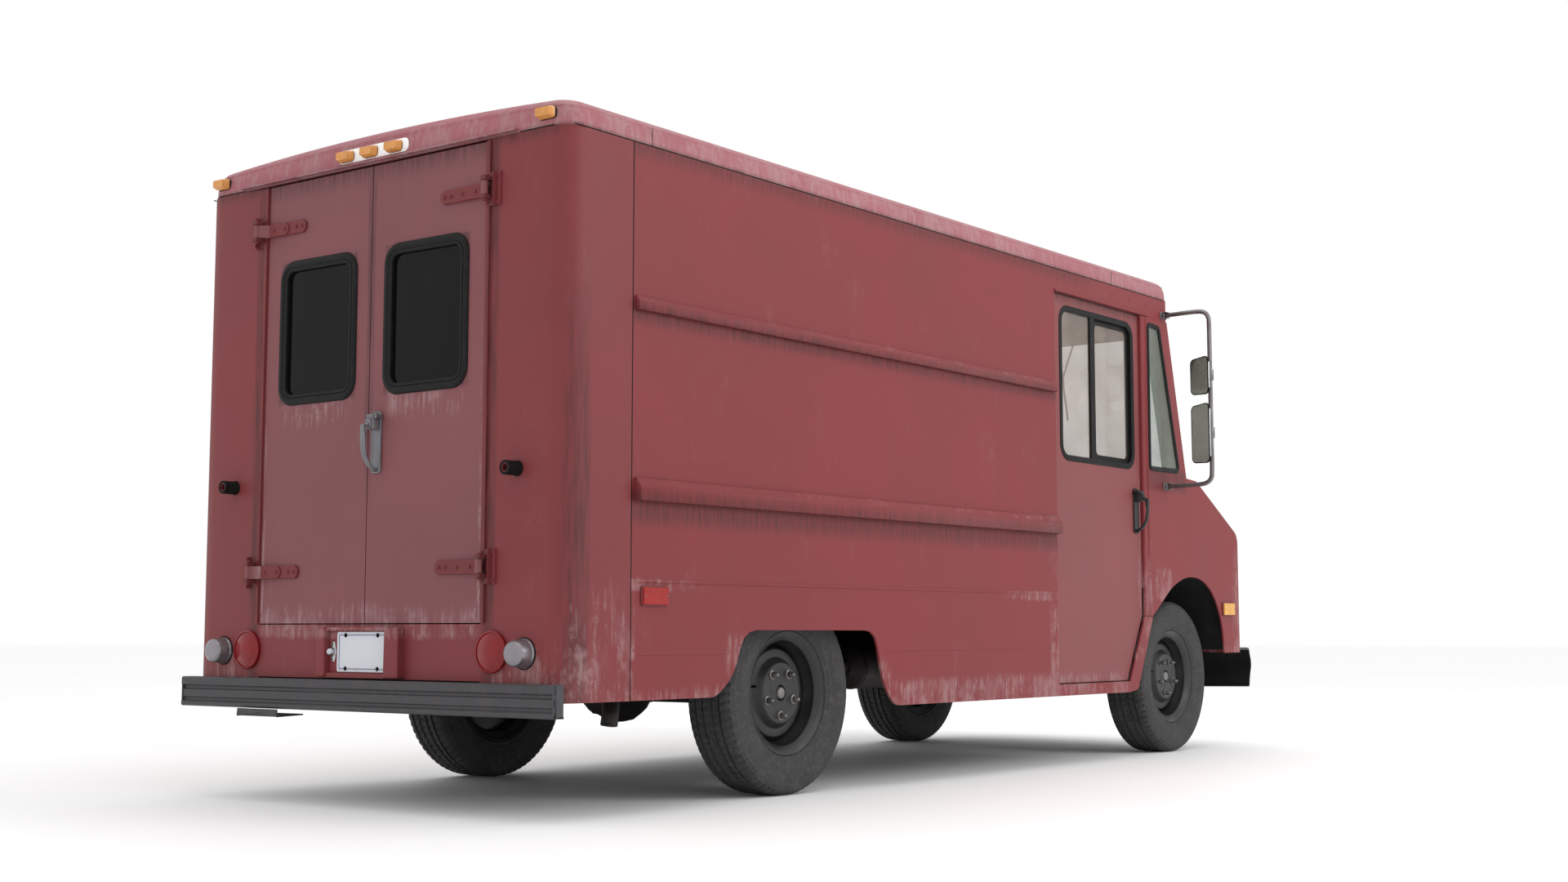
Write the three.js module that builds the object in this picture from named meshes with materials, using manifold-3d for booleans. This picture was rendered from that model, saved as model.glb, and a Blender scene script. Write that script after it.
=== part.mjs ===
// A walk-in delivery van: box body on a ladder chassis, twin rear doors, sliding side doors, short
// sloping nose. Millimetres. +X points forward, +Y to the vehicle's left, +Z up.
// Every station X below is measured forward from the rear face of the body. The whole van is then
// moved back by MID_X, so that the origin lies on the ground under the middle of its overall length,
// which runs from the rear door's handle to the front bumper.
import * as THREE from 'three';
import { mergeVertices } from 'three/addons/utils/BufferGeometryUtils.js';
import Module from 'manifold-3d';

const wasm = await Module();
wasm.setup();

// ---------------------------------------------------------------- driving dimensions
const WHEELBASE = 3175;
const REAR_AXLE_X = 1300;
const FRONT_AXLE_X = REAR_AXLE_X + WHEELBASE;
const REAR_BUMPER_X = -50;
const FRONT_BUMPER_X = 5280;
const REAR_HANDLE_TIP = -73;
const MID_X = (REAR_HANDLE_TIP + FRONT_BUMPER_X) / 2;

const HALF_WIDTH = 934;
const SKIN = 10;
const INNER_Y = HALF_WIDTH - SKIN;
const GAP = 0.4;

const ROOF_SEAM_Z = 2223;
const ROOF_TOP_Z = 2352;
const ROOF_CROWN = 34;
const ROOF_WALL = 8;
const POST_ROUND = 85;
const FRONT_TOP_X = 4277;
const FLOOR_Z = 620;
const FLOOR_THICKNESS = 20;
const FLOOR_HALF_WIDTH = 884;
const SKIRT_Z = 373;
const SILL_Z = 311;

const TYRE_RADIUS = 371;
const TYRE_HALF_WIDTH = 105;
const TRACK_Y = 746;
const KING_PIN_Y = 625;

const REAR_DOOR_HALF = 562;
const REAR_DOOR_BOTTOM = 625;
const REAR_DOOR_TOP = 2213;
const REAR_DOOR_DEPTH = 30;
const REAR_HINGE_X = -35;
const REAR_HINGE_Y = 590;
const HINGE_HEIGHTS = [807, 2049];
const STRAP_HEIGHT = 45;
const BUMP_STOP_Y = 723;
const BUMP_STOP_Z = 1119;

const SIDE_DOOR_OUTER = 919.5;
const SIDE_DOOR_DEPTH = 30;
const DOORWAY_REAR_X = 3148;
const DOORWAY_FRONT_X = 3991;
const HEADER_Z = 2118;
const DOOR_WINDOW = { x0: 3226, x1: 3921, z0: 1376, z1: 2056, corner: 62 };
const MULLION_X = 3560;

const COWL = [4472, 1354];
const SCREEN_TOP = [4278, 2130];
const SCREEN_HALF = 842;
const HOOD_REAR = [4588, 1347];
const HOOD_FRONT = [5047, 1100];
const HOOD_HALF = 690;
const NOSE_X = 5066;

const HANDLE_LENGTH = 214;
const HANDLE_REACH = 74;
const SIDE_HANDLE_X = 3935;
const SIDE_HANDLE_Z = 1166;
const REAR_HANDLE_Y = -48;
const REAR_HANDLE_Z = 1242;

const MIRROR_X = 4240;
const MIRROR_REACH = 1178;
const MIRROR_PIVOT_Y = 950;
const MIRROR_FOOT_Y = 944;
const MIRROR_TUBE = 11;
const MIRROR_TURN = 25 * Math.PI / 180;

const DRIVER_Y = 470;
const SIDES = { right: -1, left: 1 };

// ---------------------------------------------------------------- finishes
const finish = (color, roughness, metalness, opacity = 1) => ({
  color, roughness, metalness, opacity, transparent: opacity < 1,
});
const PAINT = finish(0x8c4749, 0.72, 0.1);
const DOOR_PAINT = finish(0x855658, 0.75, 0.1);
const ROOF_PAINT = finish(0xb36a76, 0.7, 0.1);
const STEEL = finish(0x4a4846, 0.6, 0.7);
const CASTING = finish(0x3a3937, 0.8, 0.5);
const BLACK = finish(0x1b1b1b, 0.6, 0.1);
const RUBBER = finish(0x3b3b3a, 0.9, 0);
const CHROME = finish(0xb8babc, 0.2, 1);
const GLASS = finish(0x3a4340, 0.1, 0, 0.35);
const RED_LENS = finish(0x9c1f26, 0.3, 0);
const VINYL = finish(0x2c2a29, 0.7, 0);
const FLOOR = finish(0x5b5a57, 0.8, 0.4);

// ---------------------------------------------------------------- shape helpers
function box(x0, x1, y0, y1, z0, z1) {
  const geometry = new THREE.BoxGeometry(Math.abs(x1 - x0), Math.abs(y1 - y0), Math.abs(z1 - z0));
  return geometry.translate((x0 + x1) / 2, (y0 + y1) / 2, (z0 + z1) / 2);
}

// A closed outline from [a, b, cut] points: a corner with a cut is rounded over that length.
function outline(points, Kind = THREE.Shape) {
  const path = new Kind();
  const count = points.length;
  points.forEach(([a, b, cut = 0], i) => {
    const corner = new THREE.Vector2(a, b);
    const from = new THREE.Vector2(...points[(i + count - 1) % count]);
    const to = new THREE.Vector2(...points[(i + 1) % count]);
    const start = corner.clone().lerp(from, cut / corner.distanceTo(from));
    const end = corner.clone().lerp(to, cut / corner.distanceTo(to));
    if (i === 0) path.moveTo(start.x, start.y);
    else path.lineTo(start.x, start.y);
    if (cut > 0) path.quadraticCurveTo(a, b, end.x, end.y);
  });
  path.closePath();
  return path;
}

const corners = (a0, a1, b0, b1, cut) => [[a0, b0, cut], [a1, b0, cut], [a1, b1, cut], [a0, b1, cut]];

function extrude(points, depth, smooth) {
  const settings = { depth, bevelEnabled: false, curveSegments: smooth };
  return new THREE.ExtrudeGeometry(outline(points), settings);
}

// An outline in the XZ plane, filled from y0 to y1.
function acrossY(points, y0, y1, smooth = 3) {
  const depth = Math.abs(y1 - y0);
  return extrude(points, depth, smooth).rotateX(Math.PI / 2).translate(0, Math.max(y0, y1), 0);
}

// An outline in the YZ plane, filled from x0 to x1.
function alongX(points, x0, x1, smooth = 3) {
  const turn = new THREE.Matrix4().makeBasis(
    new THREE.Vector3(0, 1, 0), new THREE.Vector3(0, 0, 1), new THREE.Vector3(1, 0, 0));
  return extrude(points, x1 - x0, smooth).applyMatrix4(turn).translate(x0, 0, 0);
}

// A plate along the line a-b of the XZ plane, lying to the right of it.
function slopedPlate(a, b, thickness, y0, y1) {
  const run = new THREE.Vector2(b[0] - a[0], b[1] - a[1]).normalize();
  const drop = [run.y * thickness, -run.x * thickness];
  return acrossY([a, [a[0] + drop[0], a[1] + drop[1]], [b[0] + drop[0], b[1] + drop[1]], b], y0, y1);
}

// An outline in the XY plane, filled from z0 to z1.
const upZ = (points, z0, z1, smooth = 3) => extrude(points, z1 - z0, smooth).translate(0, 0, z0);

function rodY(radius, y0, y1, x, z, segments = 16) {
  return new THREE.CylinderGeometry(radius, radius, Math.abs(y1 - y0), segments)
    .translate(x, (y0 + y1) / 2, z);
}

function rodZ(radius, z0, z1, x, y, segments = 12) {
  return new THREE.CylinderGeometry(radius, radius, z1 - z0, segments)
    .rotateX(Math.PI / 2).translate(x, y, (z0 + z1) / 2);
}

function rodX(radius, x0, x1, y, z, segments = 12) {
  return new THREE.CylinderGeometry(radius, radius, x1 - x0, segments)
    .rotateZ(Math.PI / 2).translate((x0 + x1) / 2, y, z);
}

// A round bar between two points.
function rodBetween(a, b, radius, segments = 10) {
  const start = new THREE.Vector3(...a);
  const run = new THREE.Vector3(...b).sub(start);
  const turn = new THREE.Quaternion().setFromUnitVectors(
    new THREE.Vector3(0, 1, 0), run.clone().normalize());
  return new THREE.CylinderGeometry(radius, radius, run.length(), segments)
    .applyQuaternion(turn).translate(...start.addScaledVector(run, 0.5).toArray());
}

// A round section carried along a smooth route.
function tube(points, radius, steps, sides = 10, tension = 0.5) {
  const route = new THREE.CatmullRomCurve3(
    points.map(p => new THREE.Vector3(...p)), false, 'catmullrom', tension);
  const ring = new THREE.Shape();
  ring.absarc(0, 0, radius, 0, 2 * Math.PI);
  return new THREE.ExtrudeGeometry(ring, {
    steps, extrudePath: route, bevelEnabled: false, curveSegments: sides,
  });
}

const lathe = (points, segments) => new THREE.LatheGeometry(
  points.map(([r, y]) => new THREE.Vector2(r, y)), segments);

function toSolid(geometry) {
  const bare = geometry.clone();
  Object.keys(bare.attributes).filter(n => n !== 'position').forEach(n => bare.deleteAttribute(n));
  const merged = mergeVertices(bare, 1e-3);
  return new wasm.Manifold(new wasm.Mesh({
    numProp: 3,
    vertProperties: new Float32Array(merged.attributes.position.array),
    triVerts: new Uint32Array(merged.index.array),
  }));
}

function toGeometry(solid) {
  const mesh = solid.getMesh();
  const geometry = new THREE.BufferGeometry();
  geometry.setAttribute('position', new THREE.BufferAttribute(mesh.vertProperties, 3));
  geometry.setIndex(new THREE.BufferAttribute(mesh.triVerts, 1));
  geometry.computeVertexNormals();
  return geometry;
}

const join = (first, ...rest) => toGeometry(rest.reduce((s, g) => s.add(toSolid(g)), toSolid(first)));
const cut = (first, ...tools) => toGeometry(tools.reduce((s, g) => s.subtract(toSolid(g)), toSolid(first)));
const common = (a, b) => toGeometry(toSolid(a).intersect(toSolid(b)));

// The outline of a part drawn on the right, mirrored for the left when side is +1.
const mirrorY = (points, side) => (side < 0 ? points : points.map(([a, b, c]) => [a, -b, c]));

// ---------------------------------------------------------------- the scene graph
const van = new THREE.Group();
van.position.x = -MID_X;
const root = new THREE.Group();
root.add(van);

function piece(name, geometry, surface, parent = van) {
  const mesh = new THREE.Mesh(geometry, new THREE.MeshStandardMaterial(surface));
  mesh.name = name;
  parent.add(mesh);
  return mesh;
}

function forBothSides(make) {
  for (const [name, side] of Object.entries(SIDES)) make(name, side);
}

// ---------------------------------------------------------------- chassis and running gear
function chassisFrame() {
  const RAIL = [400, 440, 470, 596];
  const crossX = [120, 640, 1930, 2450, 3300, 5110];
  const rails = [1, -1].map(s => box(90, 5174, s * RAIL[0], s * RAIL[1], RAIL[2], RAIL[3]));
  const crossings = crossX.map(x => box(x - 25, x + 25, -405, 405, 560, 596));
  return join(...rails, ...crossings);
}

function leafPack(axleX, y) {
  const HALF_SPAN = 560;
  const top = [[axleX - HALF_SPAN, 468], [axleX - 300, 450], [axleX, 440], [axleX + 300, 450],
    [axleX + HALF_SPAN, 468]];
  const under = [[axleX + HALF_SPAN, 458], [axleX + 300, 420], [axleX, 396], [axleX - 300, 420],
    [axleX - HALF_SPAN, 458]];
  return acrossY([...top, ...under], y - 28, y + 28);
}

function rearAxle() {
  const housing = rodY(46, -690, 690, REAR_AXLE_X, TYRE_RADIUS, 14);
  const casing = new THREE.SphereGeometry(132, 14, 8).translate(REAR_AXLE_X, 0, TYRE_RADIUS);
  const nose = rodX(58, REAR_AXLE_X, REAR_AXLE_X + 190, 0, TYRE_RADIUS);
  return join(housing, casing, nose, leafPack(REAR_AXLE_X, 420), leafPack(REAR_AXLE_X, -420));
}

function frontAxle() {
  const beam = box(FRONT_AXLE_X - 32, FRONT_AXLE_X + 32, -592, 592, 318, 398);
  return join(beam, leafPack(FRONT_AXLE_X, 420), leafPack(FRONT_AXLE_X, -420));
}

function knuckle(side) {
  const pin = rodZ(26, 300, 430, FRONT_AXLE_X, side * KING_PIN_Y);
  const spindle = rodY(32, side * KING_PIN_Y, side * 752, FRONT_AXLE_X, TYRE_RADIUS, 14);
  const backplate = rodY(150, side * 656, side * 664, FRONT_AXLE_X, TYRE_RADIUS, 20);
  const steeringArm = box(FRONT_AXLE_X - 150, FRONT_AXLE_X, side * 606, side * 624, 300, 316);
  return join(pin, spindle, backplate, steeringArm);
}

// The tyre's ring, about its own axle line.
function tyre() {
  const half = [[200, 58], [224, 64], [246, 94], [296, TYRE_HALF_WIDTH], [340, TYRE_HALF_WIDTH - 4],
    [363, 88], [TYRE_RADIUS, 72]];
  const inboard = half.map(([r, y]) => [r, -y]);
  return lathe([...inboard, ...[...half].reverse(), inboard[0]], 28);
}

// The pressed wheel and its brake drum in one piece, outboard towards +y.
function pressedWheel() {
  return lathe([
    [0, 18], [148, 18], [148, -60], [158, -60], [158, 10], [186, 6], [188, -76],
    [223, -80], [223, -71], [196, -66], [196, 60], [223, 71], [223, 81],
    [190, 76], [160, 28], [110, 34], [104, 44], [0, 46],
  ], 22);
}

function placeOnAxle(mesh, axleX, side) {
  mesh.position.set(axleX, side * TRACK_Y, TYRE_RADIUS);
  if (side < 0) mesh.rotation.z = Math.PI;
}

function engine() {
  const block = box(4030, 4640, -190, 190, 520, 860);
  const heads = box(4060, 4600, -235, 235, 780, 960);
  const sump = box(4080, 4560, -150, 150, 405, 530);
  const airCleaner = rodZ(170, 955, 1040, 4330, 0, 18);
  const bell = rodX(165, 3905, 4035, 0, 560, 16);
  const gearbox = rodX(76, 3500, 3910, 0, 512, 14);
  return join(block, heads, sump, airCleaner, bell, gearbox);
}

function exhaust() {
  const lead = tube([[4300, -262, 560], [4000, -300, 440], [3600, -470, 420], [3000, -560, 430],
    [2650, -560, 430]], 27, 10, 4);
  const silencer = rodX(88, 2060, 2680, -560, 450, 16);
  const tail = tube([[2100, -560, 450], [1700, -545, 480], [1300, -545, 486], [900, -550, 460],
    [620, -600, 430], [450, -730, 395], [385, -784, 330], [372, -790, 288]], 29, 16, 4);
  return join(lead, silencer, tail);
}

function runningGear() {
  piece('chassis_frame', chassisFrame(), BLACK);
  piece('rear_axle', rearAxle(), CASTING);
  piece('front_axle', frontAxle(), CASTING);
  piece('engine', engine(), CASTING);
  piece('radiator', box(4870, 4935, -330, 330, 610, 1020), BLACK);
  piece('fuel_tank', acrossY(corners(2060, 2900, 320, 560, 40), 470, 830), STEEL);
  piece('exhaust', exhaust(), STEEL);
  const shaftFrom = [REAR_AXLE_X + 197, 0, 380];
  const shaftTo = [3493, 0, 508];
  piece('prop_shaft', rodBetween(shaftFrom, shaftTo, 38, 14), STEEL);
  forBothSides((name, side) => {
    piece(`knuckle_${name}`, knuckle(side), CASTING);
    for (const [end, axleX] of [['front', FRONT_AXLE_X], ['rear', REAR_AXLE_X]]) {
      placeOnAxle(piece(`${end}_tyre_${name}`, tyre(), RUBBER), axleX, side);
      placeOnAxle(piece(`${end}_wheel_${name}`, pressedWheel(), BLACK), axleX, side);
    }
  });
}

// ---------------------------------------------------------------- floors
function cargoFloor() {
  const HOUSE = { x0: 870, x1: 1750, y: 615, z: 850, plate: 6 };
  const under = FLOOR_Z - FLOOR_THICKNESS;
  const deck = box(64, 3112, -FLOOR_HALF_WIDTH, FLOOR_HALF_WIDTH, under, FLOOR_Z);
  let solid = toSolid(deck);
  for (const s of [1, -1]) {
    const outer = box(HOUSE.x0, HOUSE.x1, s * HOUSE.y, s * 921, under, HOUSE.z);
    const inner = box(HOUSE.x0 + HOUSE.plate, HOUSE.x1 - HOUSE.plate, s * (HOUSE.y + HOUSE.plate),
      s * 960, under - 50, HOUSE.z - HOUSE.plate);
    solid = solid.add(toSolid(outer)).subtract(toSolid(inner));
  }
  return toGeometry(solid);
}

// The driver's seat stands on an open-backed box, welded to the floor.
function seatPedestal() {
  const outer = box(3420, 3740, DRIVER_Y - 150, DRIVER_Y + 150, FLOOR_Z - 1, 880);
  return cut(outer, box(3400, 3730, DRIVER_Y - 140, DRIVER_Y + 140, FLOOR_Z + 1, 870));
}

function cabFloor() {
  const WELL_Y = 640;
  const STEP_Z = 374;
  const TOE_X = 4085;
  const under = FLOOR_Z - FLOOR_THICKNESS;
  const platform = box(3122, TOE_X, -WELL_Y, WELL_Y, under, FLOOR_Z);
  const engineHole = box(3895, 4460, -282, 282, under - 20, FLOOR_Z + 20);
  const firewall = box(4434, 4440, -FLOOR_HALF_WIDTH, FLOOR_HALF_WIDTH, 900, 1326);
  const fireHole = box(4400, 4460, -282, 282, 800, 1112);
  const arch = [[3996, 678], [4078, 775], [4210, 868], [4456, 910], [4640, 888], [4780, 800],
    [4870, 660], [4890, 500], [4898, 500], [4878, 665], [4786, 808], [4644, 896], [4456, 918],
    [4206, 876], [4072, 781], [3996, 694]];
  let solid = toSolid(platform).subtract(toSolid(engineHole));
  solid = solid.add(toSolid(firewall).subtract(toSolid(fireHole))).add(toSolid(seatPedestal()));
  for (const s of [1, -1]) {
    const inner = s * (WELL_Y - 6);
    const outer = s * FLOOR_HALF_WIDTH;
    const riser = box(3122, 3990, inner, s * WELL_Y, STEP_Z, FLOOR_Z);
    const step = box(3122, 3822, inner, outer, STEP_Z, STEP_Z + 6);
    const back = box(3116, 3122, inner, outer, STEP_Z, FLOOR_Z);
    const slope = acrossY([[3822, STEP_Z], [3990, 668], [4012, 694], [4004, 700], [3984, 676],
      [3814, STEP_Z]], inner, outer);
    const toeBoard = acrossY([[TOE_X - 6, under], [TOE_X + 2, under], [4242, 760], [4362, 902], [4438, 902],
      [4438, 910], [4358, 910], [4236, 766], [TOE_X - 6, 610]], s * 282, s * WELL_Y);
    const liner = acrossY(arch, inner, s * 922);
    for (const g of [riser, step, back, slope, liner, toeBoard]) solid = solid.add(toSolid(g));
  }
  return toGeometry(solid);
}

// ---------------------------------------------------------------- body shell
const REAR_ARCH = [[1850, SILL_Z, 36], [1772, 395, 60], [1716, 600, 60], [912, 602, 70],
  [850, 440, 60], [752, SKIRT_Z, 30]];

function bodySide(side) {
  const wall = [[313.4, SKIRT_Z], [313.4, ROOF_SEAM_Z - GAP], [4270, ROOF_SEAM_Z - GAP], [4270, HEADER_Z],
    [DOORWAY_REAR_X, HEADER_Z], [DOORWAY_REAR_X, 362], [3829, 362], [3829, SILL_Z]];
  const skin = acrossY([...wall, ...REAR_ARCH], side * INNER_Y, side * HALF_WIDTH);
  const track = box(2380, 4040, side * 886, side * INNER_Y, 2126, 2150);
  const rails = [[325, 3131, 1658, 1705, 20], [327, 3146, 1026, 1100, 30]].map(
    ([x0, x1, z0, z1, proud]) => alongX([[INNER_Y + 5, z0], [INNER_Y + 5, z1],
      [HALF_WIDTH + proud * 0.35, z1 - 4], [HALF_WIDTH + proud, z1 - proud],
      [HALF_WIDTH + proud, z0]].map(([y, z]) => [side * y, z]), x0, x1));
  return join(skin, track, ...rails);
}

// The raised housing round the number plate, with the shallow recess that the plate sits in.
function plateHousing() {
  const panel = alongX([[-206, 440, 10], [214, 440, 10], [205, 612, 6], [-197, 612, 6]], -24, 2);
  return cut(panel, box(-40, -9, -132, 166, 456, 600));
}

function rearFrame() {
  const CORNER = POST_ROUND;
  const PANEL = 10;
  let solid = null;
  const add = g => { solid = solid ? solid.add(toSolid(g)) : toSolid(g); };
  for (const s of [-1, 1]) {
    const plan = [[313, -HALF_WIDTH], [0, -HALF_WIDTH, CORNER], [0, -REAR_DOOR_HALF - 3],
      [PANEL, -REAR_DOOR_HALF - 3], [PANEL, -INNER_Y, CORNER - PANEL], [313, -INNER_Y]];
    add(upZ(mirrorY(plan, s), SKIRT_Z, ROOF_SEAM_Z - GAP, 4));
    add(box(0, 60, s * 565, s * 610, 437, ROOF_SEAM_Z - GAP));
    add(box(34, 60, s * 530, s * 575, 560, ROOF_SEAM_Z - GAP));
    add(box(-8, 2, s * 568, s * 585, REAR_DOOR_BOTTOM, REAR_DOOR_TOP));
    add(cut(rodX(22, -58, 4, s * BUMP_STOP_Y, BUMP_STOP_Z, 16),
      rodX(13, -70, -12, s * BUMP_STOP_Y, BUMP_STOP_Z, 12)));
    for (const z of HINGE_HEIGHTS) {
      add(box(-8, 2, s * 566, s * 634, z - 56, z + 56));
      for (const end of [-1, 1]) {
        const near = z + end * (STRAP_HEIGHT / 2 + 2);
        add(box(-47, 0, s * 580, s * 604, near, near + end * 12));
      }
    }
  }
  add(box(0, PANEL, -600, 600, 437, REAR_DOOR_BOTTOM - 4));
  add(plateHousing());
  add(box(34, 60, -600, 600, 560, REAR_DOOR_BOTTOM - 4));
  add(box(0, 60, -600, 600, 600, REAR_DOOR_BOTTOM - 4));
  add(box(34, 60, -600, 600, 2180, ROOF_SEAM_Z - GAP));
  add(box(0, 60, -600, 600, REAR_DOOR_TOP + 3, ROOF_SEAM_Z - GAP));
  return toGeometry(solid);
}

// The cap's outline from above, its two rear corners rounded like the posts below them.
function roofPlan(rearX, halfWidth) {
  const frontX = FRONT_TOP_X + 20;
  return upZ([[rearX, -halfWidth, POST_ROUND], [frontX, -halfWidth], [frontX, halfWidth],
    [rearX, halfWidth, POST_ROUND]], ROOF_SEAM_Z - 20, ROOF_TOP_Z + 20, 6);
}

function roofCap() {
  const side = [[0, ROOF_SEAM_Z], [0, ROOF_TOP_Z, 45], [4262, ROOF_TOP_Z, 70],
    [FRONT_TOP_X, ROOF_SEAM_Z]];
  const edge = ROOF_TOP_Z - ROOF_CROWN;
  const across = [[HALF_WIDTH, ROOF_SEAM_Z], [HALF_WIDTH, edge, 55], [0, ROOF_TOP_Z + ROOF_CROWN, 860],
    [-HALF_WIDTH, edge, 55], [-HALF_WIDTH, ROOF_SEAM_Z]];
  const crowned = common(
    acrossY(side, -HALF_WIDTH - 10, HALF_WIDTH + 10, 4),
    alongX(across, -10, FRONT_TOP_X + 20, 4));
  const cap = common(crowned, roofPlan(0, HALF_WIDTH));
  const inner = HALF_WIDTH - ROOF_WALL;
  const vault = alongX([[inner, ROOF_SEAM_Z - 10], [inner, edge - 46], [inner - 52, edge - 4],
    [0, ROOF_TOP_Z - 20], [52 - inner, edge - 4], [-inner, edge - 46],
    [-inner, ROOF_SEAM_Z - 10]], 24, FRONT_TOP_X - 60);
  const hollow = common(vault, roofPlan(24, inner));
  const dripRail = acrossY([[-20, 2226], [-20, 2232], [-2, 2240], [2, 2240], [2, 2226]], -704, 713);
  return toGeometry(toSolid(cap).subtract(toSolid(hollow)).add(toSolid(dripRail)));
}

function quarterWindow(scale) {
  const frame = [[4061, 2092], [4192, 2084], [4392, 1375], [4061, 1371]];
  const middle = [4170, 1700];
  return frame.map(([x, z]) => [
    middle[0] + (x - middle[0]) * scale, middle[1] + (z - middle[1]) * scale, 34]);
}

function frontSide(side) {
  const arch = [[4880, 484], [4858, 640, 70], [4760, 790, 80], [4610, 862, 80], [4440, 862, 70],
    [4290, 812, 70], [4078, 668]];
  const wall = [[DOORWAY_FRONT_X, HEADER_Z - GAP], [SCREEN_TOP[0] + 3, HEADER_Z - GAP],
    [COWL[0] - 1, COWL[1]], [HOOD_REAR[0] - 5, HOOD_REAR[1]], [HOOD_FRONT[0], HOOD_FRONT[1], 20],
    [NOSE_X, 1062, 18], [NOSE_X, 484]];
  const sill = [[3908, 323, 14], [3829 + GAP, SILL_Z], [3829 + GAP, 362], [DOORWAY_FRONT_X, 667]];
  const y0 = side * INNER_Y;
  const y1 = side * HALF_WIDTH;
  const skin = acrossY([...wall, ...arch, ...sill], y0, y1, 4);
  const pillar = box(DOORWAY_FRONT_X, 4046, side * 886, y0, 800, HEADER_Z - GAP);
  const window = acrossY(quarterWindow(1), side * 900, side * 950);
  return toGeometry(toSolid(skin).add(toSolid(pillar)).subtract(toSolid(window)));
}

function noseShell() {
  const edge = INNER_Y - GAP;
  const face = box(NOSE_X - 14, NOSE_X - 1, -edge, edge, 484, 1066);
  const slots = [0, 1, 2, 3, 4].map(
    i => box(NOSE_X - 30, NOSE_X + 10, -430, 430, 650 + 62 * i, 688 + 62 * i));
  const railNotches = [1, -1].map(s => box(NOSE_X - 30, NOSE_X + 10, s * 396, s * 444, 460, 600));
  const wings = [1, -1].flatMap(s => [
    slopedPlate(HOOD_REAR, HOOD_FRONT, 12, s * (HOOD_HALF + 4), s * edge),
    slopedPlate(HOOD_FRONT, [NOSE_X - 1, 1072], 14, s * (HOOD_HALF + 4), s * edge)]);
  const lip = box(NOSE_X - 40, NOSE_X - 1, -edge, edge, 1046, 1060);
  const cowl = slopedPlate([COWL[0] + 4, COWL[1] - 4], HOOD_REAR, 12, -edge, edge);
  const supports = [1, -1].map(s => box(4560, 5056, s * 700, s * 712, 940, 1060));
  const struts = [1, -1].map(s => box(4560, 4584, s * 700, s * 712, 940, 1340));
  return toGeometry([...wings, lip, cowl, ...supports, ...struts].reduce(
    (s, g) => s.add(toSolid(g)),
    [...slots, ...railNotches].reduce((s, g) => s.subtract(toSolid(g)), toSolid(face))));
}

function hood() {
  const rear = [HOOD_REAR[0] + 12, HOOD_REAR[1] - 6];
  const lid = slopedPlate(rear, HOOD_FRONT, 12, -HOOD_HALF, HOOD_HALF);
  const lip = slopedPlate(HOOD_FRONT, [NOSE_X - 4, 1084], 12, -HOOD_HALF, HOOD_HALF);
  return join(lid, lip);
}

// Points on the windscreen's plane: up the slope from the cowl, and outward from its face.
function onScreen(up, out) {
  const run = new THREE.Vector2(SCREEN_TOP[0] - COWL[0], SCREEN_TOP[1] - COWL[1]).normalize();
  return [COWL[0] + run.x * up + run.y * out, COWL[1] + run.y * up - run.x * out];
}

const screenPlate = (up0, up1, out0, out1, y0, y1) => acrossY([onScreen(up0, out0),
  onScreen(up0, out1), onScreen(up1, out1), onScreen(up1, out0)], y0, y1);

function windscreenFrame() {
  const edge = INNER_Y - GAP;
  const sheet = screenPlate(0, 800, -40, -2, -edge, edge);
  const holes = [[20, SCREEN_HALF], [-SCREEN_HALF, -20]].map(
    ([y0, y1]) => screenPlate(50, 735, -60, 20, y0, y1));
  const header = box(4225, 4269, -edge, edge, HEADER_Z, ROOF_SEAM_Z - GAP);
  const base = holes.reduce((s, g) => s.subtract(toSolid(g)), toSolid(sheet));
  const belowRoof = box(4000, 4600, -edge, edge, 1300, ROOF_SEAM_Z - GAP);
  return toGeometry(base.add(toSolid(header)).intersect(toSolid(belowRoof)));
}

function bodyShell() {
  forBothSides((name, side) => {
    piece(`body_side_${name}`, bodySide(side), PAINT);
    piece(`front_side_${name}`, frontSide(side), PAINT);
    const pane = acrossY(quarterWindow(0.995), side * 927, side * 932);
    piece(`quarter_glass_${name}`, pane, GLASS);
  });
  piece('rear_frame', rearFrame(), PAINT);
  piece('roof_cap', roofCap(), ROOF_PAINT);
  piece('nose_shell', noseShell(), PAINT);
  piece('hood', hood(), PAINT);
  piece('windscreen_frame', windscreenFrame(), PAINT);
  piece('windscreen', screenPlate(38, 747, -46, -41, -SCREEN_HALF - 10, SCREEN_HALF + 10), GLASS);
  piece('cargo_floor', cargoFloor(), FLOOR);
  piece('cab_floor', cabFloor(), BLACK);
}

// ---------------------------------------------------------------- doors and handles
function rearDoor(side) {
  const PANE = 5;
  const WINDOW = { y0: 97, y1: 461, z0: 1427, z1: 1900 };
  const leaf = box(0, REAR_DOOR_DEPTH, side * 2, side * REAR_DOOR_HALF, REAR_DOOR_BOTTOM, REAR_DOOR_TOP);
  const frameOf = (x0, x1) => alongX(
    corners(Math.min(side * WINDOW.y0, side * WINDOW.y1), Math.max(side * WINDOW.y0, side * WINDOW.y1),
      WINDOW.z0, WINDOW.z1, 45), x0, x1);
  let solid = toSolid(leaf);
  solid = solid.subtract(toSolid(frameOf(-10, 12))).subtract(toSolid(frameOf(12 + PANE, 40)));
  for (const z of HINGE_HEIGHTS) {
    const z0 = z - STRAP_HEIGHT / 2;
    const z1 = z + STRAP_HEIGHT / 2;
    const bent = [[2, 380], [2, 548], [-10, 566], [-26, REAR_HINGE_Y - 2], [-42, REAR_HINGE_Y - 2],
      [-20, 556], [-8, 540], [-8, 380]];
    solid = solid.add(toSolid(upZ(bent.map(([x, y]) => [x, side * y]), z0, z1)));
    solid = solid.add(toSolid(rodZ(11, z0, z1, REAR_HINGE_X, side * REAR_HINGE_Y)));
  }
  return toGeometry(solid);
}

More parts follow.
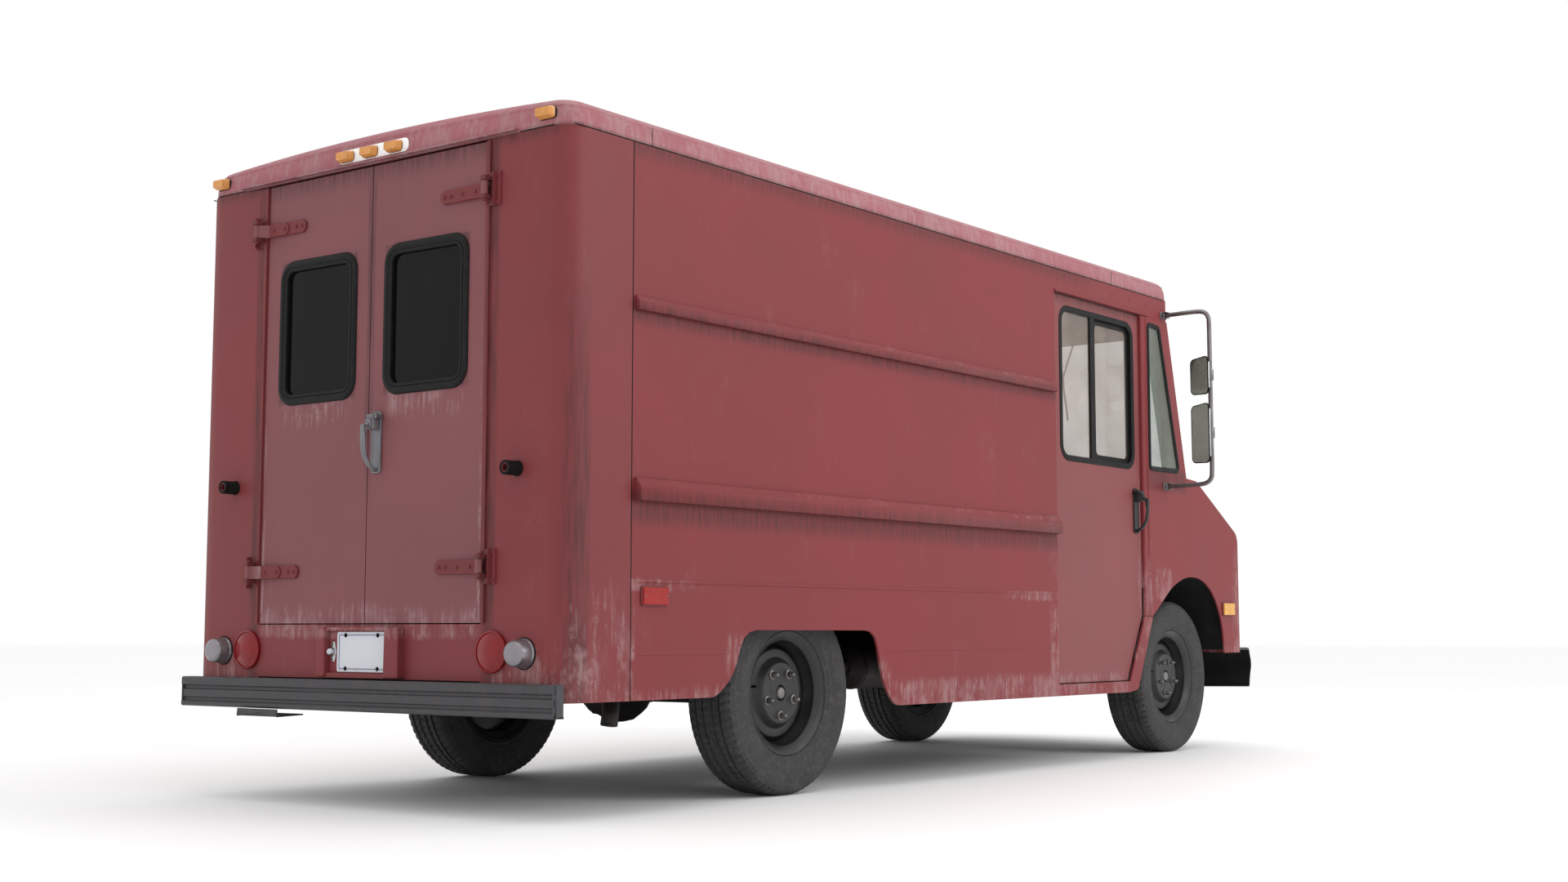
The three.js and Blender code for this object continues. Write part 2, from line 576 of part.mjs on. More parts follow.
// A pull handle on the plane z = 0 of its own frame: plate, hub, and a curved grip that stands off.
function pullHandle() {
  const half = HANDLE_LENGTH / 2;
  const plate = extrude(corners(-14, 14, -half, half, 10), 8, 2);
  const hub = extrude(corners(-15, 15, half - 62, half - 8, 8), 34, 2);
  const grip = tube([[0, half - 36, 26], [0, half - 52, 58], [0, half - 100, HANDLE_REACH - 9],
    [0, -half + 66, HANDLE_REACH - 18], [0, -half + 24, 40], [0, -half + 10, 6]], 9, 12, 3);
  return join(plate, hub, grip);
}

function placeHandle(mesh, x, y, z, facing) {
  const up = new THREE.Vector3(0, 0, 1);
  const out = new THREE.Vector3(...facing);
  const turn = new THREE.Matrix4().makeBasis(up.clone().cross(out), up, out);
  mesh.quaternion.setFromRotationMatrix(turn);
  mesh.position.set(x, y, z);
}

function sideDoor(side) {
  const outer = side * SIDE_DOOR_OUTER;
  const inner = side * (SIDE_DOOR_OUTER - SIDE_DOOR_DEPTH);
  const leaf = acrossY([[3128, 366], [3128, HEADER_Z - 4], [3989, HEADER_Z - 4], [3989, 672],
    [3826, 366]], inner, outer);
  const { x0, x1, z0, z1, corner } = DOOR_WINDOW;
  const recess = acrossY(corners(x0, x1, z0, z1, corner), side * (SIDE_DOOR_OUTER - 6), side * 960);
  const through = acrossY(corners(MULLION_X, x1, z0, z1, corner), side * 860, side * 960);
  const inside = acrossY(corners(x0, x1, z0, z1, corner), side * 860, side * (SIDE_DOOR_OUTER - 12));
  const bar = box(MULLION_X - 14, MULLION_X + 10, side * (SIDE_DOOR_OUTER - 12), side * (SIDE_DOOR_OUTER - 1),
    z0 - 5, z1 + 5);
  return toGeometry([recess, through, inside].reduce(
    (s, g) => s.subtract(toSolid(g)), toSolid(leaf)).add(toSolid(bar)));
}

function slidingPane(side) {
  const { x1, z0, z1 } = DOOR_WINDOW;
  const y0 = side * (SIDE_DOOR_OUTER - 24);
  const y1 = side * (SIDE_DOOR_OUTER - 14);
  return acrossY(corners(MULLION_X - 10, x1 - 4, z0 + 6, z1 - 6, 60), y0, y1);
}

function doors() {
  forBothSides((name, side) => {
    piece(`rear_door_${name}`, rearDoor(side), DOOR_PAINT);
    piece(`side_door_${name}`, sideDoor(side), DOOR_PAINT);
    piece(`side_window_${name}`, slidingPane(side), GLASS);
    const handle = piece(`side_handle_${name}`, pullHandle(), BLACK);
    placeHandle(handle, SIDE_HANDLE_X, side * (SIDE_DOOR_OUTER + GAP), SIDE_HANDLE_Z, [0, side, 0]);
  });
  const rearHandle = piece('rear_door_handle', pullHandle(), STEEL);
  placeHandle(rearHandle, -GAP, REAR_HANDLE_Y, REAR_HANDLE_Z, [-1, 0, 0]);
}

// ---------------------------------------------------------------- bumpers, lamps, plate
function rearBumper() {
  const face = REAR_BUMPER_X;
  const section = [[-2, 433], [face + 6, 433], [face, 427], [face, 405], [face + 9, 399], [face + 9, 391],
    [face + 3, 387], [face + 3, 361], [face + 9, 357], [face + 9, 349], [face, 343], [face, 333],
    [face + 6, 327], [-2, 327], [-2, 333], [face + 15, 333], [face + 15, 427], [-2, 427]];
  const arms = [1, -1].map(s => box(face + 12, 88, s * 401, s * 439, 384, 424));
  const uprights = [1, -1].map(s => box(63, 90 - GAP, s * 401, s * 439, 384, 590));
  return join(acrossY(section, -942, 942), ...arms, ...uprights);
}

function frontBumper() {
  const plan = [];
  const STEPS = 5;
  const HALF = 930;
  const CROWN = 45;
  const bow = t => FRONT_BUMPER_X - CROWN - 30 * t * t;
  for (let i = -STEPS; i <= STEPS; i += 1) plan.push([bow(i / STEPS), HALF * i / STEPS]);
  const back = plan.map(([x, y]) => [x - 6, y]).reverse();
  const sheet = upZ([...plan, ...back], 295, 507);
  const crown = plan.map(([x, y]) => [x + CROWN * (1 - (y / HALF) ** 4 * 0.4), y]);
  const belly = upZ([...crown, ...back], 380, 460);
  const brackets = [1, -1].map(s => box(5174 + GAP, 5235, s * 401, s * 439, 430, 500));
  const stays = [1, -1].map(s => box(5192, 5235, s * 401, s * 439, 430, 560));
  return join(sheet, belly, ...brackets, ...stays);
}

// A round ribbed lens whose axis lies along the van.
function tailLamp(side) {
  const dome = lathe([[0, 0], [64, 0], [64, 12], [60, 20], [40, 26], [0, 28]], 24);
  return dome.rotateZ(Math.PI / 2).translate(-GAP, side * 622, 532);
}

function fittings() {
  piece('rear_bumper', rearBumper(), STEEL);
  piece('front_bumper', frontBumper(), CHROME);
  forBothSides((name, side) => piece(`tail_lamp_${name}`, tailLamp(side), RED_LENS));
}

// ---------------------------------------------------------------- mirrors and wipers
function mirrorArm(side) {
  const y = n => side * n;
  return tube([[MIRROR_X, y(MIRROR_FOOT_Y), 2146], [MIRROR_X, y(1060), 2148], [MIRROR_X, y(1140), 2146],
    [MIRROR_X, y(MIRROR_REACH - 6), 2132], [MIRROR_X, y(MIRROR_REACH), 2090], [MIRROR_X, y(MIRROR_REACH), 1720],
    [MIRROR_X, y(MIRROR_REACH), 1360], [MIRROR_X, y(MIRROR_REACH - 10), 1318], [MIRROR_X, y(1135), 1306],
    [MIRROR_X, y(1050), 1302], [MIRROR_X, y(MIRROR_FOOT_Y), 1300]], MIRROR_TUBE, 28, 3, 0.4);
}

// The mirror's casing stands out from the tube towards +y of its own frame, then turns rearward.
function mirrorHead(side, low, high) {
  const WIDTH = 122;
  const DEPTH = 34;
  const shell = alongX(corners(MIRROR_TUBE + 3, WIDTH, low, high, 26), -DEPTH / 2, DEPTH / 2);
  const sleeve = rodZ(MIRROR_TUBE + 6, (low + high) / 2 - 30, (low + high) / 2 + 30, 0, 0, 12);
  const bore = rodZ(MIRROR_TUBE + 1.5, low - 50, high + 50, 0, 0, 12);
  const solid = toSolid(shell).add(toSolid(sleeve)).subtract(toSolid(bore));
  const geometry = toGeometry(solid);
  if (side > 0) return geometry.rotateZ(Math.PI + MIRROR_TURN);
  return geometry.rotateZ(-MIRROR_TURN);
}

// The wiper hangs from its pivot above the glass; the blade stands upright beside the arm's end.
function wiper(side) {
  const PIVOT = { up: 770, y: 420 };
  const BLADE = { low: 330, high: 740, y: 312 };
  const ARM_END = 560;
  const at = (up, out, y) => {
    const [x, z] = onScreen(up, out);
    return [x, side * y, z];
  };
  const arm = rodBetween(at(PIVOT.up, 14, PIVOT.y), at(ARM_END, 14, BLADE.y), 5, 6);
  const blade = rodBetween(at(BLADE.low, 13, BLADE.y), at(BLADE.high, 13, BLADE.y), 7, 6);
  const pivot = rodBetween(at(PIVOT.up, 0, PIVOT.y), at(PIVOT.up, 24, PIVOT.y), 12, 10);
  return join(arm, blade, pivot);
}

function mirrorsAndWipers() {
  const HEADS = { upper: [1735, 1929], lower: [1401, 1700] };
  forBothSides((name, side) => {
    piece(`mirror_arm_${name}`, mirrorArm(side), CHROME);
    for (const [level, [low, high]] of Object.entries(HEADS)) {
      const head = piece(`${level}_mirror_${name}`, mirrorHead(side, low, high), BLACK);
      head.position.set(MIRROR_X, side * MIRROR_REACH, 0);
    }
    piece(`wiper_${name}`, wiper(side), BLACK);
  });
}

// ---------------------------------------------------------------- cab
function steeringWheel() {
  const RIM = 212;
  const rim = new THREE.TorusGeometry(RIM, 13, 6, 20);
  const spokes = [box(-RIM, RIM, -14, 14, -8, 4), box(-14, 14, -RIM, 0, -8, 4)];
  const hub = new THREE.CylinderGeometry(48, 40, 34, 14).rotateX(Math.PI / 2).translate(0, 0, -6);
  const shaft = new THREE.CylinderGeometry(19, 19, 470, 10).rotateX(Math.PI / 2).translate(0, 0, -245);
  return join(rim, ...spokes, hub, shaft);
}

function pedal(y, width, length) {
  const arm = box(-8, 8, y - 8, y + 8, -300, 12);
  const pad = box(-34, -8, y - width / 2, y + width / 2, -300 - length / 2, -300 + length / 2);
  return join(arm, pad).rotateY(0.32).translate(4250, 0, 1085);
}

function cab() {
  piece('dashboard', acrossY([[4250, 1150], [4290, 1122], [4424, 1122], [4424, 1330], [4285, 1330],
    [4250, 1290]], -880, 880), BLACK);
  const coverOuter = box(3878, 4432, -278, 278, 622, 1108);
  const coverInner = box(3890, 4500, -266, 266, 600, 1096);
  piece('engine_cover', cut(coverOuter, coverInner), BLACK);
  const cushion = acrossY(corners(3350, 3830, 884, 990, 30), DRIVER_Y - 215, DRIVER_Y + 215);
  piece('seat_cushion', cushion, VINYL);
  const backrest = acrossY([[3352, 996, 20], [3262, 1560, 30], [3350, 1560, 30], [3448, 996, 20]],
    DRIVER_Y - 210, DRIVER_Y + 210);
  piece('seat_back', backrest, VINYL);
  const wheel = piece('steering_wheel', steeringWheel(), BLACK);
  wheel.position.set(3935, DRIVER_Y, 1210);
  wheel.rotation.y = -0.72;
  piece('brake_pedal', pedal(375, 70, 60), BLACK);
  piece('accelerator_pedal', pedal(310, 40, 110), BLACK);
}

runningGear();
bodyShell();
doors();
fittings();
mirrorsAndWipers();
cab();

export default root;
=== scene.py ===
"""The looks of a walk-in delivery van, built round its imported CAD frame."""
import math

import bmesh
import bpy
from mathutils import Matrix, Vector, noise

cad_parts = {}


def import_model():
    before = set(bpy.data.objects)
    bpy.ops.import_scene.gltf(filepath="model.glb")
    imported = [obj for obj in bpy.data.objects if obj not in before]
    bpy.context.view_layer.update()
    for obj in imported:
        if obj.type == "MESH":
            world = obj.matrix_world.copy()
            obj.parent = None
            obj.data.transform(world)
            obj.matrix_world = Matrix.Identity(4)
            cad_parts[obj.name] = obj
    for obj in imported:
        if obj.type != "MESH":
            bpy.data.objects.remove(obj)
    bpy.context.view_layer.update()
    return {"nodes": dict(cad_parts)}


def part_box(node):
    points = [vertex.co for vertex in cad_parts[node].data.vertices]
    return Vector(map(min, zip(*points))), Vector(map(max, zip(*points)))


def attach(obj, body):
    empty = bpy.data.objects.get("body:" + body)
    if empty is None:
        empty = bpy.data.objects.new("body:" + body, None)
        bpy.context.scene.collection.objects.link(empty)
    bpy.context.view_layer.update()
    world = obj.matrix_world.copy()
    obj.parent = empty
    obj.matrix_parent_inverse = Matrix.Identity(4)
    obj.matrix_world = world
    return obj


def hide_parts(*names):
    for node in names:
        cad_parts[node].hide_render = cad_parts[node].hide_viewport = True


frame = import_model()
NODES = frame["nodes"]

MM = 0.001
SIDES = {"right": -1, "left": 1}

# Stations in millimetres: x forward from the body's rear face, y to the left, z up.
REAR_AXLE_X = 1300
FRONT_AXLE_X = 4475
HALF_WIDTH = 934
TRACK_Y = 746
TYRE_RADIUS = 371
SIDE_DOOR_Y = 919.5
HINGE_HEIGHTS = (807, 2049)


def middle(node):
    low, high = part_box(node)
    return (low + high) / 2


REAR_FACE = middle("rear_tyre_right").x - REAR_AXLE_X * MM


def world(x, y, z):
    return Vector((REAR_FACE + x * MM, y * MM, z * MM))


# ---------------------------------------------------------------- mesh parts
# A part is (points, faces) in station millimetres. Several parts can make one mesh.
def loft(rings, wrap=True, loop=False, caps=True):
    """Quads between equal rings. wrap closes each ring; loop joins the last ring to the first."""
    count = len(rings[0])
    points = [p for ring in rings for p in ring]
    faces = []
    for i in range(len(rings) if loop else len(rings) - 1):
        a, b = i * count, (i + 1) % len(rings) * count
        for j in range(count if wrap else count - 1):
            k = (j + 1) % count
            faces.append((a + j, a + k, b + k, b + j))
    if caps and not loop:
        faces.append(tuple(range(count)))
        faces.append(tuple(range(len(points) - count, len(points))))
    return points, faces


def rounded(points, radius, steps=6):
    """A polygon with an arc at each corner; radius is one number, or one for each corner."""
    out = []
    count = len(points)
    radii = radius if isinstance(radius, list) else [radius] * count
    for i, point in enumerate(points):
        radius = radii[i]
        corner = Vector(point)
        before = (Vector(points[i - 1]) - corner).normalized()
        after = (Vector(points[(i + 1) % count]) - corner).normalized()
        half = before.angle(after) / 2
        centre = corner + (before + after).normalized() * radius / math.sin(half)
        start = corner + before * radius / math.tan(half) - centre
        end = corner + after * radius / math.tan(half) - centre
        for k in range(steps + 1):
            out.append(tuple(centre + start.lerp(end, k / steps).normalized() * radius))
    return out


def divided(points, per_corner, pieces):
    """The same closed line, with the straight run after each corner's arc cut into equal pieces."""
    out = []
    for i, point in enumerate(points):
        out.append(point)
        if i % per_corner == per_corner - 1:
            start, end = Vector(point), Vector(points[(i + 1) % len(points)])
            out += [tuple(start.lerp(end, k / pieces)) for k in range(1, pieces)]
    return out


def grown(points, by):
    """A convex polygon with every side moved outward."""
    out = []
    count = len(points)
    for i, point in enumerate(points):
        corner = Vector(point)
        before = (Vector(points[i - 1]) - corner).normalized()
        after = (Vector(points[(i + 1) % count]) - corner).normalized()
        half = before.angle(after) / 2
        out.append(tuple(corner - (before + after).normalized() * by / math.sin(half)))
    return out


def rectangle(a0, a1, b0, b1):
    return [(a0, b0), (a1, b0), (a1, b1), (a0, b1)]


def ellipse(radius_a, radius_b, steps=12):
    turns = [2 * math.pi * k / steps for k in range(steps)]
    return [(radius_a * math.cos(t), radius_b * math.sin(t)) for t in turns]


# A place turns (a, b, height) on one of the van's faces into a station point.
def on_rear(x=0):
    return lambda a, b, h: (x - h, a, b)


def on_front(x):
    return lambda a, b, h: (x + h, a, b)


def on_side(side, y=HALF_WIDTH):
    return lambda a, b, h: (a, side * (y + h), b)


def on_top(z):
    return lambda a, b, h: (a, b, z + h)


def moved(place, a0, b0, h0=0):
    return lambda a, b, h: place(a0 + a, b0 + b, h0 + h)


def raised(place, h0):
    """The same place, further out from its face."""
    return moved(place, 0, 0, h0)


def y_range(side, near, far):
    """The y range between two distances from the middle, on one side of the van."""
    return sorted((side * near, side * far))


def ring(outline, place, height):
    return [place(a, b, height) for a, b in outline]


def prism(outline, place, h0, h1):
    return loft([ring(outline, place, h0), ring(outline, place, h1)])


def moulding(points, radius, profile, place, steps=7):
    """A closed frame of (outward, height) section that follows a rounded polygon."""
    rings = [ring(rounded(grown(points, d), radius + d, steps), place, h) for d, h in profile]
    return loft(rings, loop=True)


def dished(points, radius, profile, place, steps=6):
    """A solid whose outline grows or shrinks with height, as (outward, height) pairs say."""
    rings = [ring(rounded(grown(points, d), radius + d, steps), place, h) for d, h in profile]
    return loft(rings)


def turning(profile, place, steps=32, loop=False):
    """A solid of revolution of (radius, height) about the place's own height axis."""
    circle = ellipse(1, 1, steps)
    rings = [[place(r * a, r * b, h) for a, b in circle] for r, h in profile]
    return loft(rings, loop=loop, caps=not loop)


def block(x0, x1, y0, y1, z0, z1):
    return prism(rectangle(x0, x1, y0, y1), on_top(0), z0, z1)


def smooth_path(points, per=6):
    """Points along a Catmull-Rom curve through the given ones."""
    knots = [Vector(p) for p in points]
    padded = [knots[0] * 2 - knots[1], *knots, knots[-1] * 2 - knots[-2]]
    out = []
    for p0, p1, p2, p3 in zip(padded, padded[1:], padded[2:], padded[3:]):
        for k in range(per):
            t = k / per
            out.append(0.5 * (2 * p1 + (p2 - p0) * t + (2 * p0 - 5 * p1 + 4 * p2 - p3) * t * t
                              + (3 * p1 - p0 - 3 * p2 + p3) * t ** 3))
    return [*out, knots[-1]]


def swept(path, section, side_axis):
    """A section carried along a path; side_axis is the direction of the section's first number."""
    points = [Vector(p) for p in path]
    rings = []
    for i, point in enumerate(points):
        along = (points[min(i + 1, len(points) - 1)] - points[max(i - 1, 0)]).normalized()
        across = Vector(side_axis)
        across = (across - along * across.dot(along)).normalized()
        normal = along.cross(across)
        rings.append([tuple(point + across * a + normal * b) for a, b in section])
    return loft(rings)


def pipe(points, radius, side_axis=(0, 0, 1), sides=16, per=6):
    return swept(smooth_path(points, per), ellipse(radius, radius, sides), side_axis)


def rod(a, b, radius, sides=16):
    run = Vector(b) - Vector(a)
    side_axis = (0, 0, 1) if abs(run.normalized().z) < 0.9 else (1, 0, 0)
    return swept([a, b], ellipse(radius, radius, sides), side_axis)


def bolt(place, a, b, size=7, height=6):
    """A hexagon head with a chamfered top on a thin washer."""
    spot = moved(place, a, b)
    head = ellipse(size, size, 6)
    low = [(u * 0.82, v * 0.82) for u, v in head]
    washer = turning([(size * 1.45, 0), (size * 1.45, 1.2), (size * 1.3, 1.8)], spot, 20)
    body = loft([ring(head, spot, 1.2), ring(head, spot, height - 1), ring(low, spot, height)])
    return [washer, body]


def rivet(place, a, b, size=5, height=2.4):
    profile = [(size, -0.5), (size, 0.3), (size * 0.85, height * 0.6), (size * 0.5, height * 0.92),
               (0.2, height)]
    return turning(profile, moved(place, a, b), 12)


def screw(place, a, b, size=4.5):
    """A flat screw head with a slot."""
    spot = moved(place, a, b)
    head = turning([(size, -0.5), (size, 0.6), (size * 0.8, 1.5), (0.2, 1.7)], spot, 16)
    return [head, prism(rectangle(-size * 0.7, size * 0.7, -0.6, 0.6), spot, 1.2, 1.95)]


def add_mesh(name, parts, material, body="root", bevel=0.0, crease=38):
    """One object in the frame's metres, from one part or a list of parts, riding on a body."""
    parts = [parts] if isinstance(parts, tuple) else parts
    mesh = bmesh.new()
    for points, faces in parts:
        corners = [mesh.verts.new(world(*p)) for p in points]
        for face in faces:
            mesh.faces.new([corners[i] for i in face])
    bmesh.ops.remove_doubles(mesh, verts=mesh.verts, dist=0.02 * MM)
    bmesh.ops.dissolve_degenerate(mesh, edges=mesh.edges, dist=0.01 * MM)
    bmesh.ops.recalc_face_normals(mesh, faces=mesh.faces)
    data = bpy.data.meshes.new(name)
    mesh.to_mesh(data)
    mesh.free()
    data.materials.append(material)
    obj = bpy.data.objects.new(name, data)
    bpy.context.scene.collection.objects.link(obj)
    shade(obj, bevel, crease)
    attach(obj, body)
    return obj


def shade(obj, bevel, crease):
    """Smooth shading broken at sharp edges, which a small bevel rounds off."""
    obj.data.shade_smooth()
    if bevel:
        add_bevel(obj, bevel)
    else:
        obj.data.set_sharp_from_angle(angle=math.radians(crease))


def add_bevel(obj, width, segments=2):
    modifier = obj.modifiers.new("rounded edges", "BEVEL")
    modifier.width = width * MM
    modifier.segments = segments
    modifier.limit_method = "ANGLE"
    modifier.angle_limit = math.radians(30)
    modifier.harden_normals = True
    modifier.use_clamp_overlap = True


def dress(nodes, material, bevel=2.0):
    """A CAD node keeps its shape, its triangles joined into flat faces. Its edges are rounded,
    or left sharp where bevel is 0, and it gets a full material."""
    for name in [nodes] if isinstance(nodes, str) else nodes:
        obj = NODES[name]
        obj.data.materials.clear()
        obj.data.materials.append(material)
        if "custom_normal" in obj.data.attributes:
            obj.data.attributes.remove(obj.data.attributes["custom_normal"])
        obj.data.shade_smooth()
        weld = obj.modifiers.new("weld", "WELD")
        weld.merge_threshold = 0.02 * MM
        flat = obj.modifiers.new("flat faces", "DECIMATE")
        flat.decimate_type = "DISSOLVE"
        flat.angle_limit = math.radians(0.5)
        if bevel:
            add_bevel(obj, bevel)
        else:
            split = obj.modifiers.new("sharp edges", "EDGE_SPLIT")
            split.split_angle = math.radians(30)


# ---------------------------------------------------------------- materials
def srgb(red, green, blue):
    """A colour given as 8-bit sRGB values, in the linear values that shaders take."""
    def linear(v):
        v /= 255
        return v / 12.92 if v <= 0.04045 else ((v + 0.055) / 1.055) ** 2.4
    return (linear(red), linear(green), linear(blue), 1)


def scaled(colour, by):
    return (*(min(1, c * by) for c in colour[:3]), 1)


class Shader:
    """Builds one material; most methods add a node and return its output."""

    def __init__(self, name):
        self.material = bpy.data.materials.new(name)
        self.material.use_nodes = True
        self.tree = self.material.node_tree
        self.surface = self.tree.nodes["Principled BSDF"]
        self.place = self.node("ShaderNodeTexCoord").outputs["Object"]
        split = self.node("ShaderNodeSeparateXYZ", {0: self.place})
        self.axes = {"x": split.outputs[0], "y": split.outputs[1], "z": split.outputs[2]}
        self.axes["w"] = self.math("ABSOLUTE", self.axes["y"])
        self.shift = {"x": REAR_FACE, "y": 0, "z": 0, "w": 0}

    def node(self, kind, inputs=None, **settings):
        made = self.tree.nodes.new(kind)
        for key, value in settings.items():
            setattr(made, key, value)
        for key, value in (inputs or {}).items():
            if isinstance(value, bpy.types.NodeSocket):
                self.tree.links.new(value, made.inputs[key])
            else:
                made.inputs[key].default_value = value
        return made

    def math(self, operation, a, b=0.0):
        return self.node("ShaderNodeMath", {0: a, 1: b}, operation=operation).outputs[0]

    def noise(self, scale, detail=4, stretch=(1, 1, 1), rough=0.55):
        """Noise whose grains are about 1/scale metres across, stretched by dividing each axis."""
        place = self.node("ShaderNodeVectorMath", {0: self.place, 1: stretch},
                          operation="MULTIPLY").outputs[0]
        inputs = {"Vector": place, "Scale": scale, "Detail": detail, "Roughness": rough}
        return self.node("ShaderNodeTexNoise", inputs).outputs["Fac"]

    def span(self, value, low, high, to_low=0.0, to_high=1.0):
        inputs = {"Value": value, "From Min": low, "From Max": high, "To Min": to_low, "To Max": to_high}
        made = self.node("ShaderNodeMapRange", inputs, interpolation_type="SMOOTHSTEP")
        return made.outputs["Result"]

    def mix(self, amount, a, b):
        made = self.node("ShaderNodeMix", data_type="RGBA")
        for key, value in (("Factor_Float", amount), ("A_Color", a), ("B_Color", b)):
            socket = next(s for s in made.inputs if s.identifier == key)
            if isinstance(value, bpy.types.NodeSocket):
                self.tree.links.new(value, socket)
            else:
                socket.default_value = value
        return next(s for s in made.outputs if s.identifier == "Result_Color")

    def mask(self, *ranges):
        """1 where every (axis, full, none) range, in stations, is at its full end; 0 at its none end."""
        total = None
        for axis, full, none in ranges:
            at = [self.shift[axis] + v * MM for v in (none, full)]
            if at[0] < at[1]:
                part = self.span(self.axes[axis], at[0], at[1])
            else:
                part = self.span(self.axes[axis], at[1], at[0], 1.0, 0.0)
            total = part if total is None else self.math("MULTIPLY", total, part)
        return total

    def highest(self, values):
        total = values[0]
        for value in values[1:]:
            total = self.math("MAXIMUM", total, value)
        return total

    def bump(self, height, depth, under=None):
        inputs = {"Height": height, "Distance": depth * MM, "Strength": 1.0}
        if under is not None:
            inputs["Normal"] = under
        return self.node("ShaderNodeBump", inputs).outputs["Normal"]

    def finish(self, colour, roughness, normal=None, **fixed):
        for key, value in (("Base Color", colour), ("Roughness", roughness), ("Normal", normal)):
            if isinstance(value, bpy.types.NodeSocket):
                self.tree.links.new(value, self.surface.inputs[key])
            elif value is not None:
                self.surface.inputs[key].default_value = value
        for key, value in fixed.items():
            self.surface.inputs[key.replace("_", " ")].default_value = value
        return self.material


# Pale dust colour; on rail tops and the roof cap it also paints highlight.
DUST_AND_HIGHLIGHT_COLOUR = srgb(168, 140, 141)
# Dark streak colour: grime, and painted shade under rails, overhangs and in gaps.
SHADE_AND_GRIME_COLOUR = srgb(44, 32, 32)


def paint(name, base, paler=(), shade_and_grime_masks=(), chalk=0.12, gloss=0.5, strength=0.5):
    """Old sprayed paint: faint clouds, with pale dust that also paints highlight on lit tops, and dark
    grime runs that also paint shade under ledges and in gaps, where masks say.
    """
    s = Shader(name)
    clouds = s.noise(1.6, 5)
    runs = s.noise(1, 5, (60, 60, 5))
    flecks = s.noise(34, 8, (1, 1, 0.6), 0.72)
    specks = s.noise(260, 3)
    colour = s.mix(s.span(clouds, 0.3, 0.7), scaled(base, 0.94), scaled(base, 1.05))
    colour = s.mix(s.span(flecks, 0.6, 0.74, 0.0, 0.3), colour, scaled(base, 0.7))
    colour = s.mix(s.span(s.noise(7, 8, (1, 1, 0.5), 0.7), 0.58, 0.8, 0.0, chalk), colour, DUST_AND_HIGHLIGHT_COLOUR)
    rough = s.span(clouds, 0.2, 0.8, gloss - 0.05, gloss + 0.07)
    # Painted shade: masks darken under ledges, overhangs and in gaps, streaked like run-down grime.
    if shade_and_grime_masks:
        shade_and_grime = s.math("MULTIPLY", s.highest([s.mask(*m) for m in shade_and_grime_masks]),
                       s.span(runs, 0.3, 0.7, 0.15, 0.6))
        colour = s.mix(shade_and_grime, colour, SHADE_AND_GRIME_COLOUR)
    # Pale mix: dust, and on rail tops and the roof cap a painted highlight.
    if paler:
        spread = s.highest([s.mask(*m) for m in paler])
        patches = s.span(s.noise(8, 6, (1, 1, 0.6), 0.65), 0.36, 0.66, 0.25, 1.0)
        scratched = s.math("MULTIPLY", s.span(runs, 0.35, 0.7), s.span(flecks, 0.36, 0.66))
        worn = s.math("MULTIPLY", spread, s.math("ADD", s.math("MULTIPLY", patches, 0.6), scratched))
        dust_and_highlight = s.span(worn, 0.18, 1.1, 0.0, strength)
        colour = s.mix(dust_and_highlight, colour, DUST_AND_HIGHLIGHT_COLOUR)
        rough = s.math("ADD", rough, s.math("MULTIPLY", dust_and_highlight, 0.3))
    normal = s.bump(specks, 0.05, s.bump(s.noise(3.2, 2), 1.2))
    return s.finish(colour, rough, normal, Metallic=0.0, Specular_IOR_Level=0.25)


def metal(name, base, rough=0.5, metallic=0.6, wear=0.3, grain=180, dirt=0.35):
    """Dull or bright metal with fine grain, blotches and settled dirt."""
    s = Shader(name)
    blotches = s.noise(9, 6)
    colour = s.mix(s.span(blotches, 0.35, 0.7), scaled(base, 1 - wear), scaled(base, 1 + wear))
    colour = s.mix(s.span(s.noise(30, 5), 0.5, 0.75, 0.0, dirt), colour, srgb(92, 84, 78))
    roughness = s.span(blotches, 0.25, 0.75, max(0.04, rough - 0.12), rough + 0.14)
    normal = s.bump(s.noise(grain, 4), 0.06)
    return s.finish(colour, roughness, normal, Metallic=metallic)


def rubber(name, base, rough=0.7, paler=0.25, scale=40, sheen=0.35):
    s = Shader(name)
    cloud = s.noise(scale / 4, 6)
    colour = s.mix(s.span(cloud, 0.3, 0.75), scaled(base, 0.75), scaled(base, 1.2))
    colour = s.mix(s.span(s.noise(scale, 5), 0.48, 0.8, 0.0, paler), colour, srgb(140, 134, 128))
    roughness = s.span(cloud, 0.2, 0.8, rough - 0.1, rough + 0.12)
    normal = s.bump(s.noise(420, 3), 0.05)
    return s.finish(colour, roughness, normal, Specular_IOR_Level=sheen)


def glass(name, tint, alpha, rough=0.04, spec=0.4):
    """Thin pane: a tinted, partly clear, glossy surface with a film of dust."""
    s = Shader(name)
    film = s.span(s.noise(7, 6), 0.45, 0.75)
    colour = s.mix(film, tint, scaled(tint, 1.25))
    roughness = s.span(s.noise(24, 4), 0.3, 0.7, rough, rough + 0.05)
    s.tree.links.new(s.span(s.noise(4, 6), 0.4, 0.8, alpha, min(1, alpha + 0.12)),
                     s.surface.inputs["Alpha"])
    return s.finish(colour, roughness, s.bump(s.noise(1.5, 1), 0.4), Specular_IOR_Level=spec)


